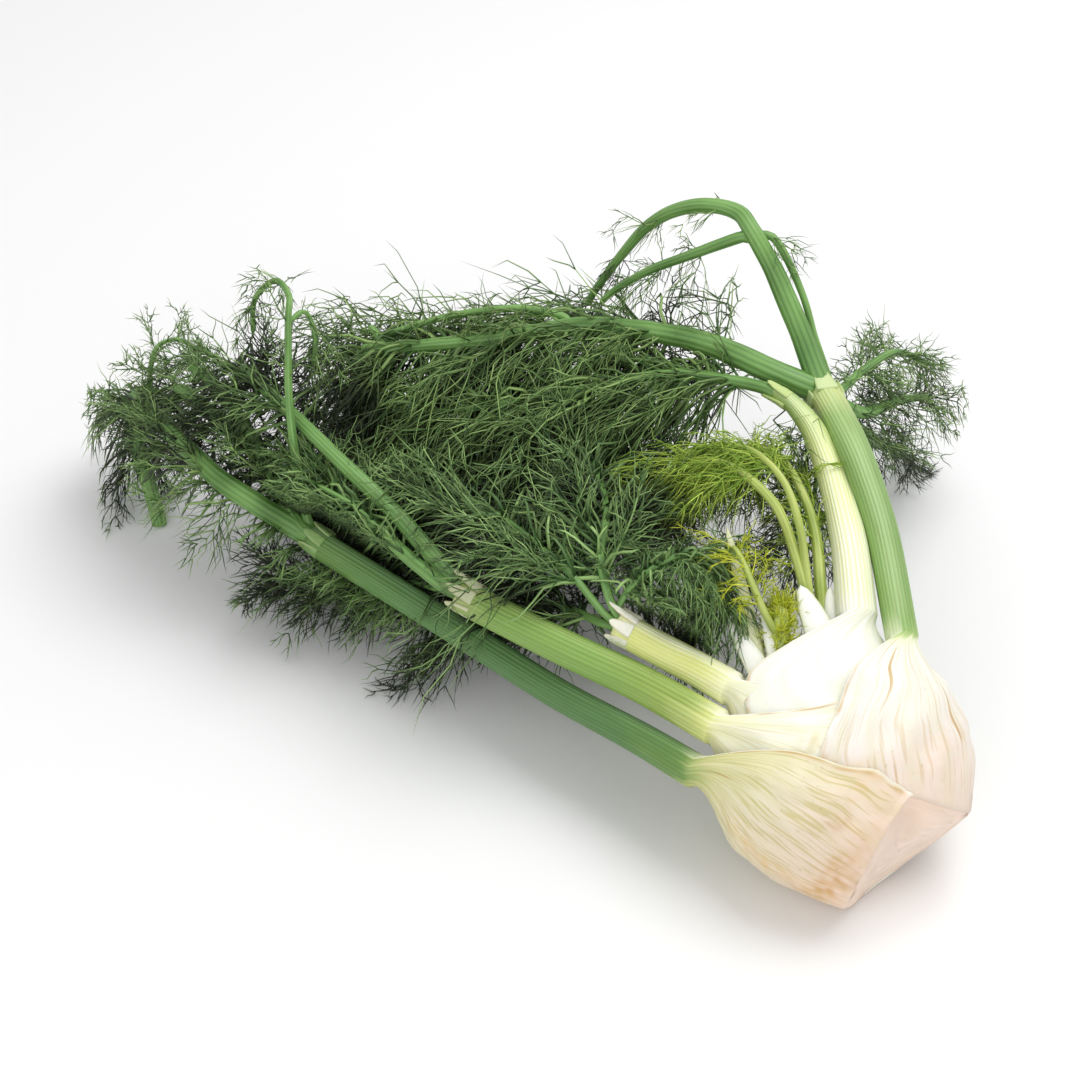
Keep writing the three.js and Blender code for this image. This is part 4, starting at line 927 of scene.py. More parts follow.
# %% Building the root plate
ROUND = 144             # points round a whole ring
PLATE_UNDER = 1.3       # the cut face stops this far inside the rounded feet of the leaves
PLATE_MIDDLE = 6.5      # height of the middle of the cut face
PLATE_RINGS = 34
# From the rim of the cut face back in under the leaves: share of the way in, and rise over the cut.
PLATE_BACK = [(0.006, 0.25), (0.0, 0.9), (0.14, 3.0), (0.3, 8.0), (0.98, 10.0)]
# Brown bruises on the rim of the cut face: angle, and share of the way in that they reach.
BRUISES = [(14, 0.08), (152, 0.14)]


def build_plate(material):
    """Rings round the bulb: from the middle of the cut face out to its rim, over the rim, and back
    in under the leaves. The height runs from the cut's to the middle's as a power of the way in.
    Where the outermost leaf leaves the base bare, the rim lies as far in as the next one."""
    angle = np.linspace(0, 360, ROUND, endpoint=False)[None, :]
    cut = cut_height(angle)
    rows = [(inward, 0.0) for inward in 1 - np.linspace(0.02, 1, PLATE_RINGS)] + PLATE_BACK
    turn = (angle + 180) % 360 - 180
    bare = smooth(turn, -94, -84) * (1 - smooth(turn, 74, 82))
    outermost = PLATE_UNDER + bare * layer_inset(1, cut, angle)
    rings = []
    for inward, rise in rows:
        height = mix(cut, PLATE_MIDDLE, inward ** 1.6) + rise
        half = along(OUTLINE, height, 2)
        dent = 0.25 * ripple(angle / 9 + 3 * inward, inward * 20, 9, 71) if rise == 0 else 0
        inset = outermost + inward * (half - outermost)
        rings.append(bulb_point(angle[0], (height + dent)[0], inset[0]))
    rings = np.stack(rings)
    points = np.concatenate([rings.reshape(-1, 3), rings[[0, -1]].mean(axis=1)])
    count = len(rows)
    triangles = np.concatenate([
        grid_triangles(count, ROUND), fan(count * ROUND, np.arange(ROUND)),
        fan(count * ROUND + 1, (count - 1) * ROUND + np.arange(ROUND), flip=True)])
    inward = np.concatenate([np.repeat([row[0] for row in rows], ROUND), [1, 1]])
    turn = np.concatenate([np.tile(angle[0], count), [0, 0]])
    tint = paint_along([[0, 240, 214, 197], [0.12, 243, 219, 202], [0.5, 243, 221, 205],
                        [1, 242, 222, 208]], inward)
    tint = tint * (1 + 0.03 * ripple(turn / 4, inward * 40, 9, 72))[:, None]
    bruise = sum(np.exp(-((turn - at) / 10) ** 2 - (inward / deep) ** 2) for at, deep in BRUISES)
    tint = mix(tint, paint(150, 98, 50), np.clip(0.8 * bruise, 0, 0.85)[:, None])
    uv = np.stack([turn / 360, inward * 0.5], axis=-1)
    piece = make_piece("root_plate_cut", points, outward(points, triangles), tint, uv, material)
    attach(piece, "root")
    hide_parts("root_plate")
    print(piece.name, len(piece.data.polygons), "triangles")


build_plate(skin_material("cut base", (14, 10, 0.10), [],
                          speck=0.35, roughness=0.6, under=0.15, bump=0.15))

# %% [markdown]
# ## Heart
#
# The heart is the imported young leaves: a white, softly creased mound with the pointed tips of the
# youngest ones standing out of it. Only its top shows between the leaf bases. Modelling every
# leaf inside would add faces that nobody sees, so it is one closed skin, and its creases are a
# ripple, in the form and in the colour alike.

# %% Building the heart
HEART_ROWS = 48
HEART_FOOT = 15         # how far above the cut it starts
HEART_TOP = 101
HEART_CLOSE = 0.72      # share of the way up where it starts to close over
HEART_SINK = 9          # how much lower its closed top lies
CREASE = 0.7
# Foot, tip and width of each pointed leaf end, in the bulb's axes, how far its tip bends out, and
# the colours of one that has greened.
HEART_TIPS = [
    ((-17, 9, 92), (-16.5, 9.5, 123), 11, -1.5),
    ((-9.5, 10, 95), (-4.5, 10, 120), 7, 0.6),
    ((-17, 6, 96), (2, 9, 160), 7.5, -1.0, ((240, 242, 200), (196, 206, 96))),
    ((11, 15, 88), (16.6, 12, 123), 15, -1.0),
    ((19.5, 6, 94), (27, 2, 118), 9, 2.5),
    ((1, -9, 94), (2, -10, 115), 10, -1.0),
    ((-24, 2, 92), (-25, 2, 108), 9, -2.0),
    ((24, -6, 94), (28, -9, 110), 10, 2.0),
]


def build_heart(material):
    """A mound of rings round the bulb that close over at the top along a rounded quarter, creased
    by a ripple, with the pointed leaf ends on it."""
    angle = np.linspace(0, 360, ROUND, endpoint=False)[None, :]
    rise = np.linspace(0, 1, HEART_ROWS)[:, None]
    foot = cut_height(angle) + HEART_FOOT
    height = mix(foot, HEART_TOP, np.minimum(rise / 0.9, 1)) + 5 * np.maximum(rise - 0.9, 0) / 0.1
    radius = along(OUTLINE, height, 2)
    closing = np.maximum((rise - HEART_CLOSE) / (1 - HEART_CLOSE), 0)
    close = np.sqrt(np.maximum(1 - closing ** 2.6, 0.0004))
    fold = ripple(angle / 2.2, height * 0.6, 13, 81)
    inset = layer_inset(5, height, angle) + 0.5
    inset = inset + (radius - inset) * (1 - close) * 0.97
    inset = inset - CREASE * fold * smooth(height, 60, 96)
    points = bulb_point(angle, height - HEART_SINK * (1 - close), inset)
    flat = points.reshape(-1, 3)
    first, last = np.arange(ROUND), (HEART_ROWS - 1) * ROUND + np.arange(ROUND)
    triangles = np.concatenate([grid_triangles(HEART_ROWS, ROUND), lid(first),
                                lid(last, flip=True)])
    tint = np.broadcast_to(paint(248, 248, 241), points.shape)
    tint = mix(tint, paint(226, 230, 186), (0.5 * smooth(fold, -0.1, -1.1))[..., None])
    uv = np.stack(np.broadcast_arrays(angle / 360, height / 100), axis=-1)
    tint = np.concatenate([tint, 0 * tint[..., :1]], axis=-1)
    mound = (flat, outward(flat, triangles), tint.reshape(-1, 4), uv.reshape(-1, 2))
    tips = [pointed_leaf(from_bulb(*low), from_bulb(*high), width, bend * ACROSS, FACE, 90 + n,
                         *greened)
            for n, (low, high, width, bend, *greened) in enumerate(HEART_TIPS)]
    piece = make_piece("heart_mound", *joined([mound, *tips]), material)
    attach(piece, "root")
    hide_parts("heart")
    print(piece.name, len(piece.data.polygons), "triangles")


build_heart(skin_material("heart flesh", (60, 5, 0.07), [],
                          speck=0.08, roughness=0.42, under=0.25, bump=0.3))

# %% [markdown]
# ## Fronds
#
# A stalk ends in a node, where papery pale collars clasp the stems of the frond. Each stem runs
# its own way: some lie on the ground, one arches over the top of the plant, and the young ones
# stand up and nod. A rule can't know that, so the middle lines are lists of points, and all that
# grows on them is left to a rule.

# %% Where the stems run
# route: middle line. size: radius at start and end. leafy: shares of the stem that carry plumes.
# plumes: how many, and reach: how long. flow: a way they all lean. colours: of the threads, from
# dark to light.
FRONDS = {
    "frond_1": dict(slot="dark_frond", seed=101, colours=((50, 86, 34), (156, 188, 112)), stems=[
        dict(route=[(-230, 143, 55), (-238, 148, 57), (-258, 160, 62), (-281, 178, 66),
                    (-305, 208, 68), (-324, 239, 62), (-330, 252, 44), (-326, 241, 22),
                    (-318, 221, 6), (-317, 217, -2)],
             size=(5.4, 3.6), leafy=(0.2, 0.82), plumes=30, reach=30, flow=(-0.1, 0, -0.2)),
        dict(route=[(-232, 145, 56), (-241, 150, 59), (-260, 184, 70), (-280, 203, 78),
                    (-295, 216, 82), (-303, 221, 84)],
             size=(4.4, 3.2), leafy=(0.3, 1), plumes=14, reach=28, flow=(0.1, 0, 0.1)),
        dict(route=[(-258, 181, 69), (-267, 193, 84), (-282, 209, 94), (-295, 220, 98)],
             size=(2.8, 2.2), leafy=(0.5, 1), plumes=6, reach=24, flow=(-0.1, 0.1, 0.1)),
        dict(route=[(-231, 144, 55), (-237, 152, 62), (-241, 161, 84), (-244, 176, 112),
                    (-244, 196, 142), (-244, 206, 148), (-251, 217, 148), (-261, 219, 136),
                    (-263, 216, 118)],
             size=(2.4, 1.1), leafy=(0.5, 1), plumes=10, reach=22, flow=(0, 0, -0.6)),
        dict(route=[(-244, 195, 141), (-237, 202, 142), (-233, 200, 130), (-235, 199, 114)],
             size=(1.2, 0.9), leafy=(0.3, 1), plumes=6, reach=20, flow=(0.2, 0, -0.6)),
        dict(route=[(-318, 232, 64), (-317, 237, 72), (-315, 239, 84), (-311, 242, 92),
                    (-302, 246, 92), (-295, 248, 84)],
             size=(1.5, 0.9), leafy=(0.3, 1), plumes=9, reach=22, flow=(-0.2, 0, -0.4)),
    ]),
    "frond_2": dict(slot="dark_frond", seed=202, colours=((52, 88, 34), (158, 190, 112)), stems=[
        dict(route=[(-5, 184, 110), (-6, 186, 113), (-15, 204, 130), (-27, 220, 152), (-37, 231, 166),
                    (-42, 241, 168), (-54, 247, 168), (-68, 254, 161), (-81, 262, 147),
                    (-94, 266, 126), (-105, 265, 108), (-110, 264, 98)],
             size=(5.6, 1.6), leafy=(0.5, 1), plumes=8, reach=18, flow=(-0.1, 0, -0.5)),
        dict(route=[(-37, 229, 160), (-40, 230, 163), (-59, 235, 151), (-81, 244, 134),
                    (-97, 250, 118), (-104, 250, 110)],
             size=(2.8, 1.5), leafy=(0.3, 1), plumes=8, reach=20, flow=(0, 0, -0.7)),
        dict(route=[(-35, 232, 163), (-26, 229, 162), (-14, 218, 142), (-7, 205, 124), (1, 194, 106)],
             size=(2, 1.3), leafy=(0.1, 0.9), plumes=5, reach=18, flow=(0.2, 0, -0.5)),
        dict(route=[(-6, 184, 111), (-11, 184, 113), (-28, 191, 117), (-54, 210, 117),
                    (-81, 225, 113), (-109, 236, 108), (-122, 238, 105), (-150, 238, 99),
                    (-179, 241, 93), (-208, 245, 87), (-216, 247, 84), (-217, 246, 68),
                    (-215, 245, 50)],
             size=(6, 2.4), leafy=(0.3, 1), plumes=56, reach=56, flow=(0, -0.15, -0.9)),
        dict(route=[(-117, 239, 106), (-122, 245, 107), (-141, 248, 109), (-165, 250, 105),
                    (-186, 252, 98), (-205, 250, 92)],
             size=(2.2, 1.4), leafy=(0.1, 1), plumes=14, reach=20, flow=(0, 0, -0.4)),
        dict(route=[(-204, 245, 88), (-213, 257, 92)],
             size=(2.4, 2), leafy=(0.5, 1), plumes=4, reach=14, flow=(0, 0, -0.2)),
        dict(route=[(-4, 185, 110), (0, 189, 103), (17, 199, 86), (39, 228, 70), (56, 248, 56)],
             size=(3.6, 1.6), leafy=(0.2, 1), plumes=24, reach=23, flow=(0.1, 0, -0.2)),
        dict(route=[(-3, 183, 108), (2, 186, 98), (18, 202, 72), (35, 224, 44), (47, 247, 20),
                    (55, 270, -2)],
             size=(3.4, 2.2), leafy=(0.2, 0.9), plumes=20, reach=21, flow=(0.1, 0, 0.1)),
        dict(route=[(-3, 187, 109), (3, 192, 104), (18, 216, 98), (36, 242, 88), (50, 253, 74)],
             size=(2.4, 1.3), leafy=(0.25, 1), plumes=24, reach=23, flow=(0.1, 0, -0.2)),
    ]),
    "frond_3": dict(slot="dark_frond", seed=303, colours=((50, 84, 34), (150, 184, 110)), stems=[
        dict(route=[(-162, 94, 68), (-170, 102, 72), (-193, 127, 84), (-214, 146, 94),
                    (-246, 184, 100), (-271, 215, 100)],
             size=(4.2, 2.6), leafy=(0.7, 1), plumes=14, reach=38, flow=(0, 0.15, -0.2)),
        dict(route=[(-163, 94, 68), (-175, 100, 70), (-196, 118, 78), (-214, 134, 86),
                    (-231, 146, 88)],
             size=(1.6, 1.1), leafy=(0.5, 1), plumes=8, reach=30, flow=(0, 0, -0.2)),
        dict(route=[(-163, 94, 69), (-173, 98, 71), (-190, 113, 75), (-209, 136, 79), (-226, 158, 81),
                    (-238, 178, 80)],
             size=(3.4, 2), leafy=(0.25, 1), plumes=28, reach=44, flow=(0, 0, -0.3)),
        dict(route=[(-169, 98, 70), (-176, 108, 60), (-188, 125, 48), (-204, 135, 36),
                    (-226, 143, 30), (-252, 150, 28)],
             size=(1.8, 1.1), leafy=(0.25, 1), plumes=26, reach=30, flow=(-0.1, 0, 0)),
    ]),
    "frond_4": dict(slot="dark_frond", seed=404, colours=((52, 88, 34), (158, 190, 112)), stems=[
        dict(route=[(-25, 172, 118), (-31, 177, 118), (-45, 186, 115), (-72, 199, 109),
                    (-104, 200, 101), (-129, 201, 94), (-159, 203, 86), (-185, 209, 78)],
             size=(3, 1.3), leafy=(0.12, 1), plumes=52, reach=48, flow=(-0.1, -0.1, -0.8)),
        dict(route=[(-25, 172, 118), (-18, 167, 112), (-11, 157, 102), (-9, 146, 88), (-14, 138, 74),
                    (-21, 131, 60)],
             size=(1.5, 0.8), leafy=(0.08, 1), plumes=26, reach=25, flow=(-0.15, 0, -0.4)),
    ]),
    "frond_5": dict(slot="dark_frond", seed=505, colours=((48, 84, 34), (154, 188, 114)), stems=[
        dict(route=[(-94, 66, 76), (-104, 71, 80), (-117, 83, 90), (-130, 98, 92), (-147, 125, 86),
                    (-168, 153, 76), (-187, 171, 66)],
             size=(1.8, 1), leafy=(0.2, 1), plumes=32, reach=46, flow=(0, 0, -0.2)),
        dict(route=[(-94, 66, 77), (-101, 72, 84), (-106, 88, 96), (-103, 120, 96), (-109, 168, 84),
                    (-122, 211, 66)],
             size=(2, 1.1), leafy=(0.15, 1), plumes=40, reach=50, flow=(0.2, -0.1, -0.2)),
        dict(route=[(-94, 66, 75), (-106, 72, 74), (-119, 93, 62), (-136, 108, 50), (-159, 118, 38),
                    (-182, 121, 26)],
             size=(2, 1), leafy=(0.2, 1), plumes=26, reach=32, flow=(-0.2, 0.1, 0)),
        dict(route=[(-94, 67, 77), (-98, 72, 84), (-85, 77, 100), (-68, 80, 106), (-58, 74, 100),
                    (-55, 60, 90)],
             size=(1.6, 1), leafy=(0.15, 0.9), plumes=28, reach=28, flow=(-0.3, -0.3, -0.9)),
    ]),
    "young_frond": dict(slot="young_frond", seed=606, colours=((112, 150, 36), (196, 220, 90)), stems=[
        dict(route=[(-12, 60, 75), (-18, 71, 88), (-24, 85, 104), (-31, 94, 119), (-41, 105, 125),
                    (-53, 123, 120), (-66, 137, 107), (-76, 141, 92), (-81, 137, 77)],
             size=(2.6, 1.2), leafy=(0.5, 1), plumes=50, reach=25, flow=(-0.1, -0.2, -1)),
        dict(route=[(-17, 70, 87), (-19, 80, 99), (-22, 90, 114), (-28, 103, 126), (-38, 119, 128),
                    (-49, 138, 118), (-60, 150, 104)],
             size=(2, 1.1), leafy=(0.5, 1), plumes=36, reach=23, flow=(-0.1, -0.2, -0.9)),
        dict(route=[(-11, 64, 76), (-12, 84, 88), (-13, 104, 96), (-17, 124, 101), (-25, 144, 104),
                    (-36, 158, 100), (-46, 163, 92)],
             size=(3, 1.2), leafy=(0.25, 1), plumes=34, reach=24, flow=(-0.1, 0, -0.6)),
    ]),
    "heart_tuft": dict(slot="young_frond", seed=707, colours=((162, 180, 26), (230, 234, 74)), stems=[
        dict(route=[(-32, 42, 68), (-31, 52, 80), (-30, 66, 91)],
             size=(4.6, 3.4), leafy=(0.25, 1), plumes=80, reach=8.5, flow=(0, 0, 0.3)),
        dict(route=[(-31, 54, 82), (-37, 58, 92), (-42, 63, 102), (-46, 71, 108), (-50, 82, 108),
                    (-52, 84, 98)],
             size=(1.8, 1.1), leafy=(0.3, 1), plumes=22, reach=18, flow=(-0.1, 0, -0.7)),
    ]),
}
print("stems:", {name: len(frond["stems"]) for name, frond in FRONDS.items()})

# %% [markdown]
# ## Room for the threads
#
# Threads drape: they lie over the stalks and the bulb and never enter them or the ground. Blender's
# hair and cloth tools can keep strands off a body, but they need many frames, so one rule moves
# the points after the threads are drawn. A point inside a stalk goes straight out to its surface,
# a point inside the bulb is drawn out along its section, and none goes below the ground or much
# outside the plant's own box. A few lines, such as the end of a stalk that lies on top of the
# foliage, would be buried in it: threads in front of those are drawn back behind them.

# %% Lines that lie on the foliage
IN_FRONT = unit(np.array([0, -0.74, 0.67]))     # out of the foliage, towards the front and up
BESIDE = 1.5            # free room on both sides of such a line
BESIDE_SLOPE = 4        # how fast threads may come forward again, further out
STALKS = [(line_through([from_bulb(*leaf["start"]), *leaf["route"]], 9)[0],
           max(leaf["size"][0][1:])) for leaf in LEAVES.values()]
FIRST_STALK, FIFTH_STALK = STALKS[0][0], STALKS[4][0]
FIRST_STEM = line_through(FRONDS["frond_1"]["stems"][0]["route"][:4], 5)[0]
# Each line with its radius, and how far behind it the threads run.
ON_TOP = [(FIRST_STALK[6:], 6.6, 8.0), (FIFTH_STALK[4:], 8.0, 9.5), (FIRST_STEM, 4.2, 1.5)]


def behind(p):
    """Points drawn back behind the lines that lie on top: each point's lead over a line, less a
    slope times how far it lies beside it, is taken off along the way out of the foliage."""
    for line, radius, back in ON_TOP:
        for a, b in zip(line[:-1], line[1:]):
            flat = b - a - IN_FRONT * ((b - a) @ IN_FRONT)
            share = np.clip((p - a) @ flat / (flat @ flat), 0, 1)
            off = p - a - share[:, None] * (b - a)
            front = off @ IN_FRONT
            aside = np.linalg.norm(off - front[:, None] * IN_FRONT, axis=1)
            over = front + back - BESIDE_SLOPE * np.maximum(aside - radius - BESIDE, 0)
            p = p - np.maximum(over, 0)[:, None] * IN_FRONT
    return p


print("lines on top of the foliage:", len(ON_TOP))

# %% Keeping clear
LOW, HIGH = (np.array(corner) / MM for corner in CAD_BOX)
BULB_CLEAR = 1.012      # threads stay this share of the outline out from the bulb's middle
BULB_TOP = 98           # and above this height they are free
STALK_CLEAR = 0.9
GROUND_CLEAR = 0.5
BOX_SOFT, BOX_SLOPE, BOX_HARD = 2, 0.4, 7       # how far past the box threads are slowed and stopped
LOWEST = np.maximum(LOW - BOX_HARD, [-1e9, -1e9, GROUND_CLEAR])
HIGHEST = HIGH + BOX_HARD


def in_bulb(points):
    """Which points lie inside the bulb, and their places across it and out of its face, from its
    middle, and up, with how far out they are as a share of the outline."""
    x, y, height = ((points - BASE) @ axis for axis in (ACROSS, FACE, UP))
    x = x - along(OUTLINE, height, 3)
    out = ((np.abs(x) / along(OUTLINE, height, 1)) ** SQUARENESS
           + (np.abs(y) / along(OUTLINE, height, 2)) ** SQUARENESS) ** (1 / SQUARENESS)
    return (out < BULB_CLEAR) & (height > 0) & (height < BULB_TOP), x, y, height, out


def settle(points):
    """Thread points moved behind what lies on top, and out of the stalks, the bulb and the ground.
    Past the box they are slowed to a share of the way, and stopped."""
    p = behind(points.reshape(-1, 3))
    for line, radius in STALKS:
        for a, b in zip(line[:-1], line[1:]):
            share = np.clip((p - a) @ (b - a) / ((b - a) @ (b - a)), 0, 1)
            off = p - a - share[:, None] * (b - a)
            far = np.linalg.norm(off, axis=1)
            p += unit(off) * np.maximum(radius + STALK_CLEAR - far, 0)[:, None]
    inside, x, y, height, out = in_bulb(p)
    grow = np.minimum(BULB_CLEAR / np.maximum(out, 0.2), 3)
    drawn_out = from_bulb(x * grow + along(OUTLINE, height, 3), y * grow, height)
    p = np.where(inside[:, None], drawn_out, p)
    p[:, 2] = np.maximum(p[:, 2], GROUND_CLEAR + 0.02 * np.abs(p[:, 0] % 40))
    low, high = LOW - BOX_SOFT, HIGH + BOX_SOFT
    p = np.where(p < low, low + BOX_SLOPE * (p - low), p)
    p = np.where(p > high, high + BOX_SLOPE * (p - high), p)
    return np.clip(p, LOWEST, HIGHEST).reshape(points.shape)


print("the threads keep to", LOWEST.round(1), "to", HIGHEST.round(1), "mm")

# %% [markdown]
# ## One rule for three levels
#
# A stem carries plumes on all sides, a plume carries pinnae in pairs, and a pinna carries pairs of
# threads: three levels made by the same rule, each smaller than the last. Particle hair would not
# branch like this and has no faces of its own. All threads of one level are worked out at once, as
# one array of threads by points. A thread leaves its parent exactly at one of the parent's points,
# so nothing hangs free.

# %% Branching
JITTER = 9          # degrees by which a thread's lean is off
SWAY = 0.11         # how far a thread wanders, as a share of its length
DROOP = 0.55        # how far it bends, likewise


def branch(parents, spots, lean, reach, curl, flow, turning, count, seed, plane=None):
    """Threads in pairs from the points of their parents with those numbers: start + length ×
    (heading × u + sway × the sine of u + droop × bend × u²), with u the share of the way along.
    lean: degrees from the parent; reach: a length for each parent and spot; curl: how much they
    bend forward; flow: a way they all bend; turning: how far their plane turns from pair to pair,
    from the normal plane, or from a seeded one for each parent. Returns threads × points × 3."""
    draw = np.random.default_rng(seed)
    n, m = len(parents), len(spots)
    tangent = unit(np.gradient(parents, axis=1))[:, spots]
    normal = draw.normal(size=(n, 1, 3)) if plane is None else np.asarray(plane, float)
    side = unit(np.cross(tangent, normal))
    twist = draw.uniform(-turning, turning, (n, m, 1))
    side = np.cos(twist) * side + np.sin(twist) * np.cross(tangent, side)
    sign = np.array([-1, 1])[None, None, :, None]
    angle = np.radians(lean + draw.normal(0, JITTER, (n, m, 2, 1)))
    heading = np.cos(angle) * tangent[:, :, None] + np.sin(angle) * sign * side[:, :, None]
    bend = (curl * tangent[:, :, None] + np.asarray(flow) + draw.normal(0, 0.3, (n, m, 2, 3)))
    length = reach[:, :, None] * draw.uniform(0.7, 1.15, (n, m, 2))
    u = np.linspace(0, 1, count)[:, None]
    sway = draw.normal(0, SWAY, (n, m, 2, 1, 3)) * np.sin(2 * np.pi * u) * u
    start = parents[:, spots][:, :, None, None]
    paths = start + length[..., None, None] * (heading[..., None, :] * u + sway
                                               + DROOP * bend[..., None, :] * u ** 2)
    return paths.reshape(-1, count, 3)


upright = np.linspace([0, 0, 0], [0, 0, 100], 10)[None]
print("a stem with five spots gives",
      len(branch(upright, np.arange(2, 7), 45, np.full((1, 5), 30.0), 0, (0, 0, 0), 1, 6, 1)),
      "threads")

# %% [markdown]
# ## Plumes of all sizes
#
# A long plume divides more often than a short one: those of the small tuft have three or four
# pairs of pinnae, the longest seven, and a few coarse threads hang down in them and fill the shade
# inside. So how often a plume divides follows from how far it reaches, which also keeps the number
# of faces within bounds. Fine threads that would enter the bulb are left out with all that grows on
# them, because drawn out they would lie on its skin in knots.

# %% The threads of a stem
LONG_PLUME, MEDIUM_PLUME, SHORT_PLUME, TUFT_PLUME = 27, 19, 15, 10     # reaches, in millimetres


def pinna_spots(reach):
    """Which of a plume's eight points carry pinnae."""
    if reach > LONG_PLUME:
        return np.arange(1, 8)
    return np.array([1, 3, 5, 7]) if reach > SHORT_PLUME else np.array([2, 4, 7])


def length_of(paths):
    """How far it is from the first point of each path to its last."""
    return np.linalg.norm(paths[:, -1] - paths[:, 0], axis=1)[:, None]


def plume_paths(stem, seed):
    """The threads of a stem, level by level, each with its thickness: plumes, pinnae, threads and,
    on the longer ones, a few coarse threads that hang down inside."""
    line = line_through(stem["route"], 240)[0][None]
    flow = np.array(stem["flow"])
    reach = stem["reach"]
    small = np.clip(reach / 40, 0.42, 1)
    leafy = np.array(stem["leafy"]) * 239
    spots = np.linspace(*leafy, max(stem["plumes"] // 2, 1)).astype(int)
    taper = 1.05 - 0.3 * np.linspace(0, 1, len(spots))[None, :]
    turning = 0.7 if reach > TUFT_PLUME else np.pi
    level_1 = branch(line, spots, 50, reach * taper, 0.3, 0.9 * flow + (0, 0, -0.25), turning,
                     8, seed, plane=(0.25, 0, 1))
    at = pinna_spots(reach)
    level_2 = branch(level_1, at, 44, 0.52 * length_of(level_1) * (1.1 - 0.62 * at / 7), 0.6,
                     0.6 * flow + (0, 0, -0.25), 0.9, 5, seed + 1)
    at = np.array([1, 3]) if reach > MEDIUM_PLUME else np.array([2])
    size = np.maximum(0.72 * length_of(level_2) * (1.1 - 0.5 * at / 4), 4)
    level_3 = branch(level_2, at, 30, size, 0.5, 0.6 * flow + (0, 0, -0.15), 1.2, 4, seed + 2)
    left_out = in_bulb(level_2)[0].any(axis=1)
    of_left_out = np.repeat(left_out, len(level_3) // len(level_2))
    level_2 = level_2[~left_out]
    level_3 = level_3[~(of_left_out | in_bulb(level_3)[0].any(axis=1))]
    levels = [(level_1, 0.62 * small + 0.1), (level_2, 0.38 * small + 0.08),
              (level_3, 0.3 * small + 0.08)]
    # Coarse threads are threads of the frond, and they also stand in for its dark inside: deep down,
    # the painted shade of open_air makes them nearly black.
    if reach > LONG_PLUME:
        spots = np.linspace(*leafy, int(1.5 * stem["plumes"])).astype(int)
        inside = branch(line, spots, 62, np.full((1, len(spots)), 0.72 * reach), 0.2,
                        0.8 * flow + (0, 0, -0.9), np.pi, 6, seed + 6)
        levels.append((inside, 1.0))
    return [(settle(paths), thickness) for paths, thickness in levels]


PLUMES = {name: [plume_paths(stem, frond["seed"] * 10 + 7 * n)
                 for n, stem in enumerate(frond["stems"])] for name, frond in FRONDS.items()}
print("threads:", {name: sum(len(paths) for levels in stems for paths, _ in levels)
                   for name, stems in PLUMES.items()})

# %% [markdown]
# ## Depth in the foliage
#
# A frond is bright on top and nearly black inside, because hardly any light gets through its
# threads. The lights of the scene darken it too, but a real frond has many more threads than these
# and lets less light through. So a map of the foliage is made first, seen along the daylight, with
# its top in every cell. How far a point lies below that top sets its tint.

# %% How deep a point lies
DAYLIGHT = unit(np.array([0.0, -0.4, 1.0]))    # the way out to the light
CELL = 5.0                                      # millimetres
CELLS = 180
SHADE_FROM, SHADE_TO, SHADE = 5, 36, 0.86       # depths in millimetres, and the tint lost there


def seen_along(points):
    """Column and row of the cell that each point lies in, seen along the daylight, and how far
    out to the light it is."""
    across = unit(np.cross(DAYLIGHT, [1.0, 0, 0]))
    cells = np.stack([points[..., 0], points @ across], axis=-1) / CELL + CELLS // 2
    return np.clip(cells.astype(int), 1, CELLS - 2), points @ DAYLIGHT


TOP_OF_FOLIAGE = np.full((CELLS, CELLS), -100.0)
for stems in PLUMES.values():
    for levels in stems:
        for paths, _ in levels:
            cells, out_to_light = seen_along(paths.reshape(-1, 3))
            np.maximum.at(TOP_OF_FOLIAGE, (cells[:, 0], cells[:, 1]), out_to_light)
print("cells with foliage:", int((TOP_OF_FOLIAGE > -100).sum()))


def open_air(points):
    """1 for points at the top of the foliage, down to a small share for points far below the mean
    top of the nine cells round them."""
    cells, out_to_light = seen_along(points)
    steps = [(i, j) for i in (-1, 0, 1) for j in (-1, 0, 1)]
    top = sum(TOP_OF_FOLIAGE[cells[..., 0] + i, cells[..., 1] + j] for i, j in steps) / 9
    return 1 - SHADE * smooth(top - out_to_light, SHADE_FROM, SHADE_TO)


# %% [markdown]
# ## Skins for threads and stems
#
# There are tens of thousands of threads, so each has few faces: three sides, closed to a point. More
# would hardly show on something a millimetre thick. The stems are thick enough for ribs and get a
# fine tube with rounded ends.

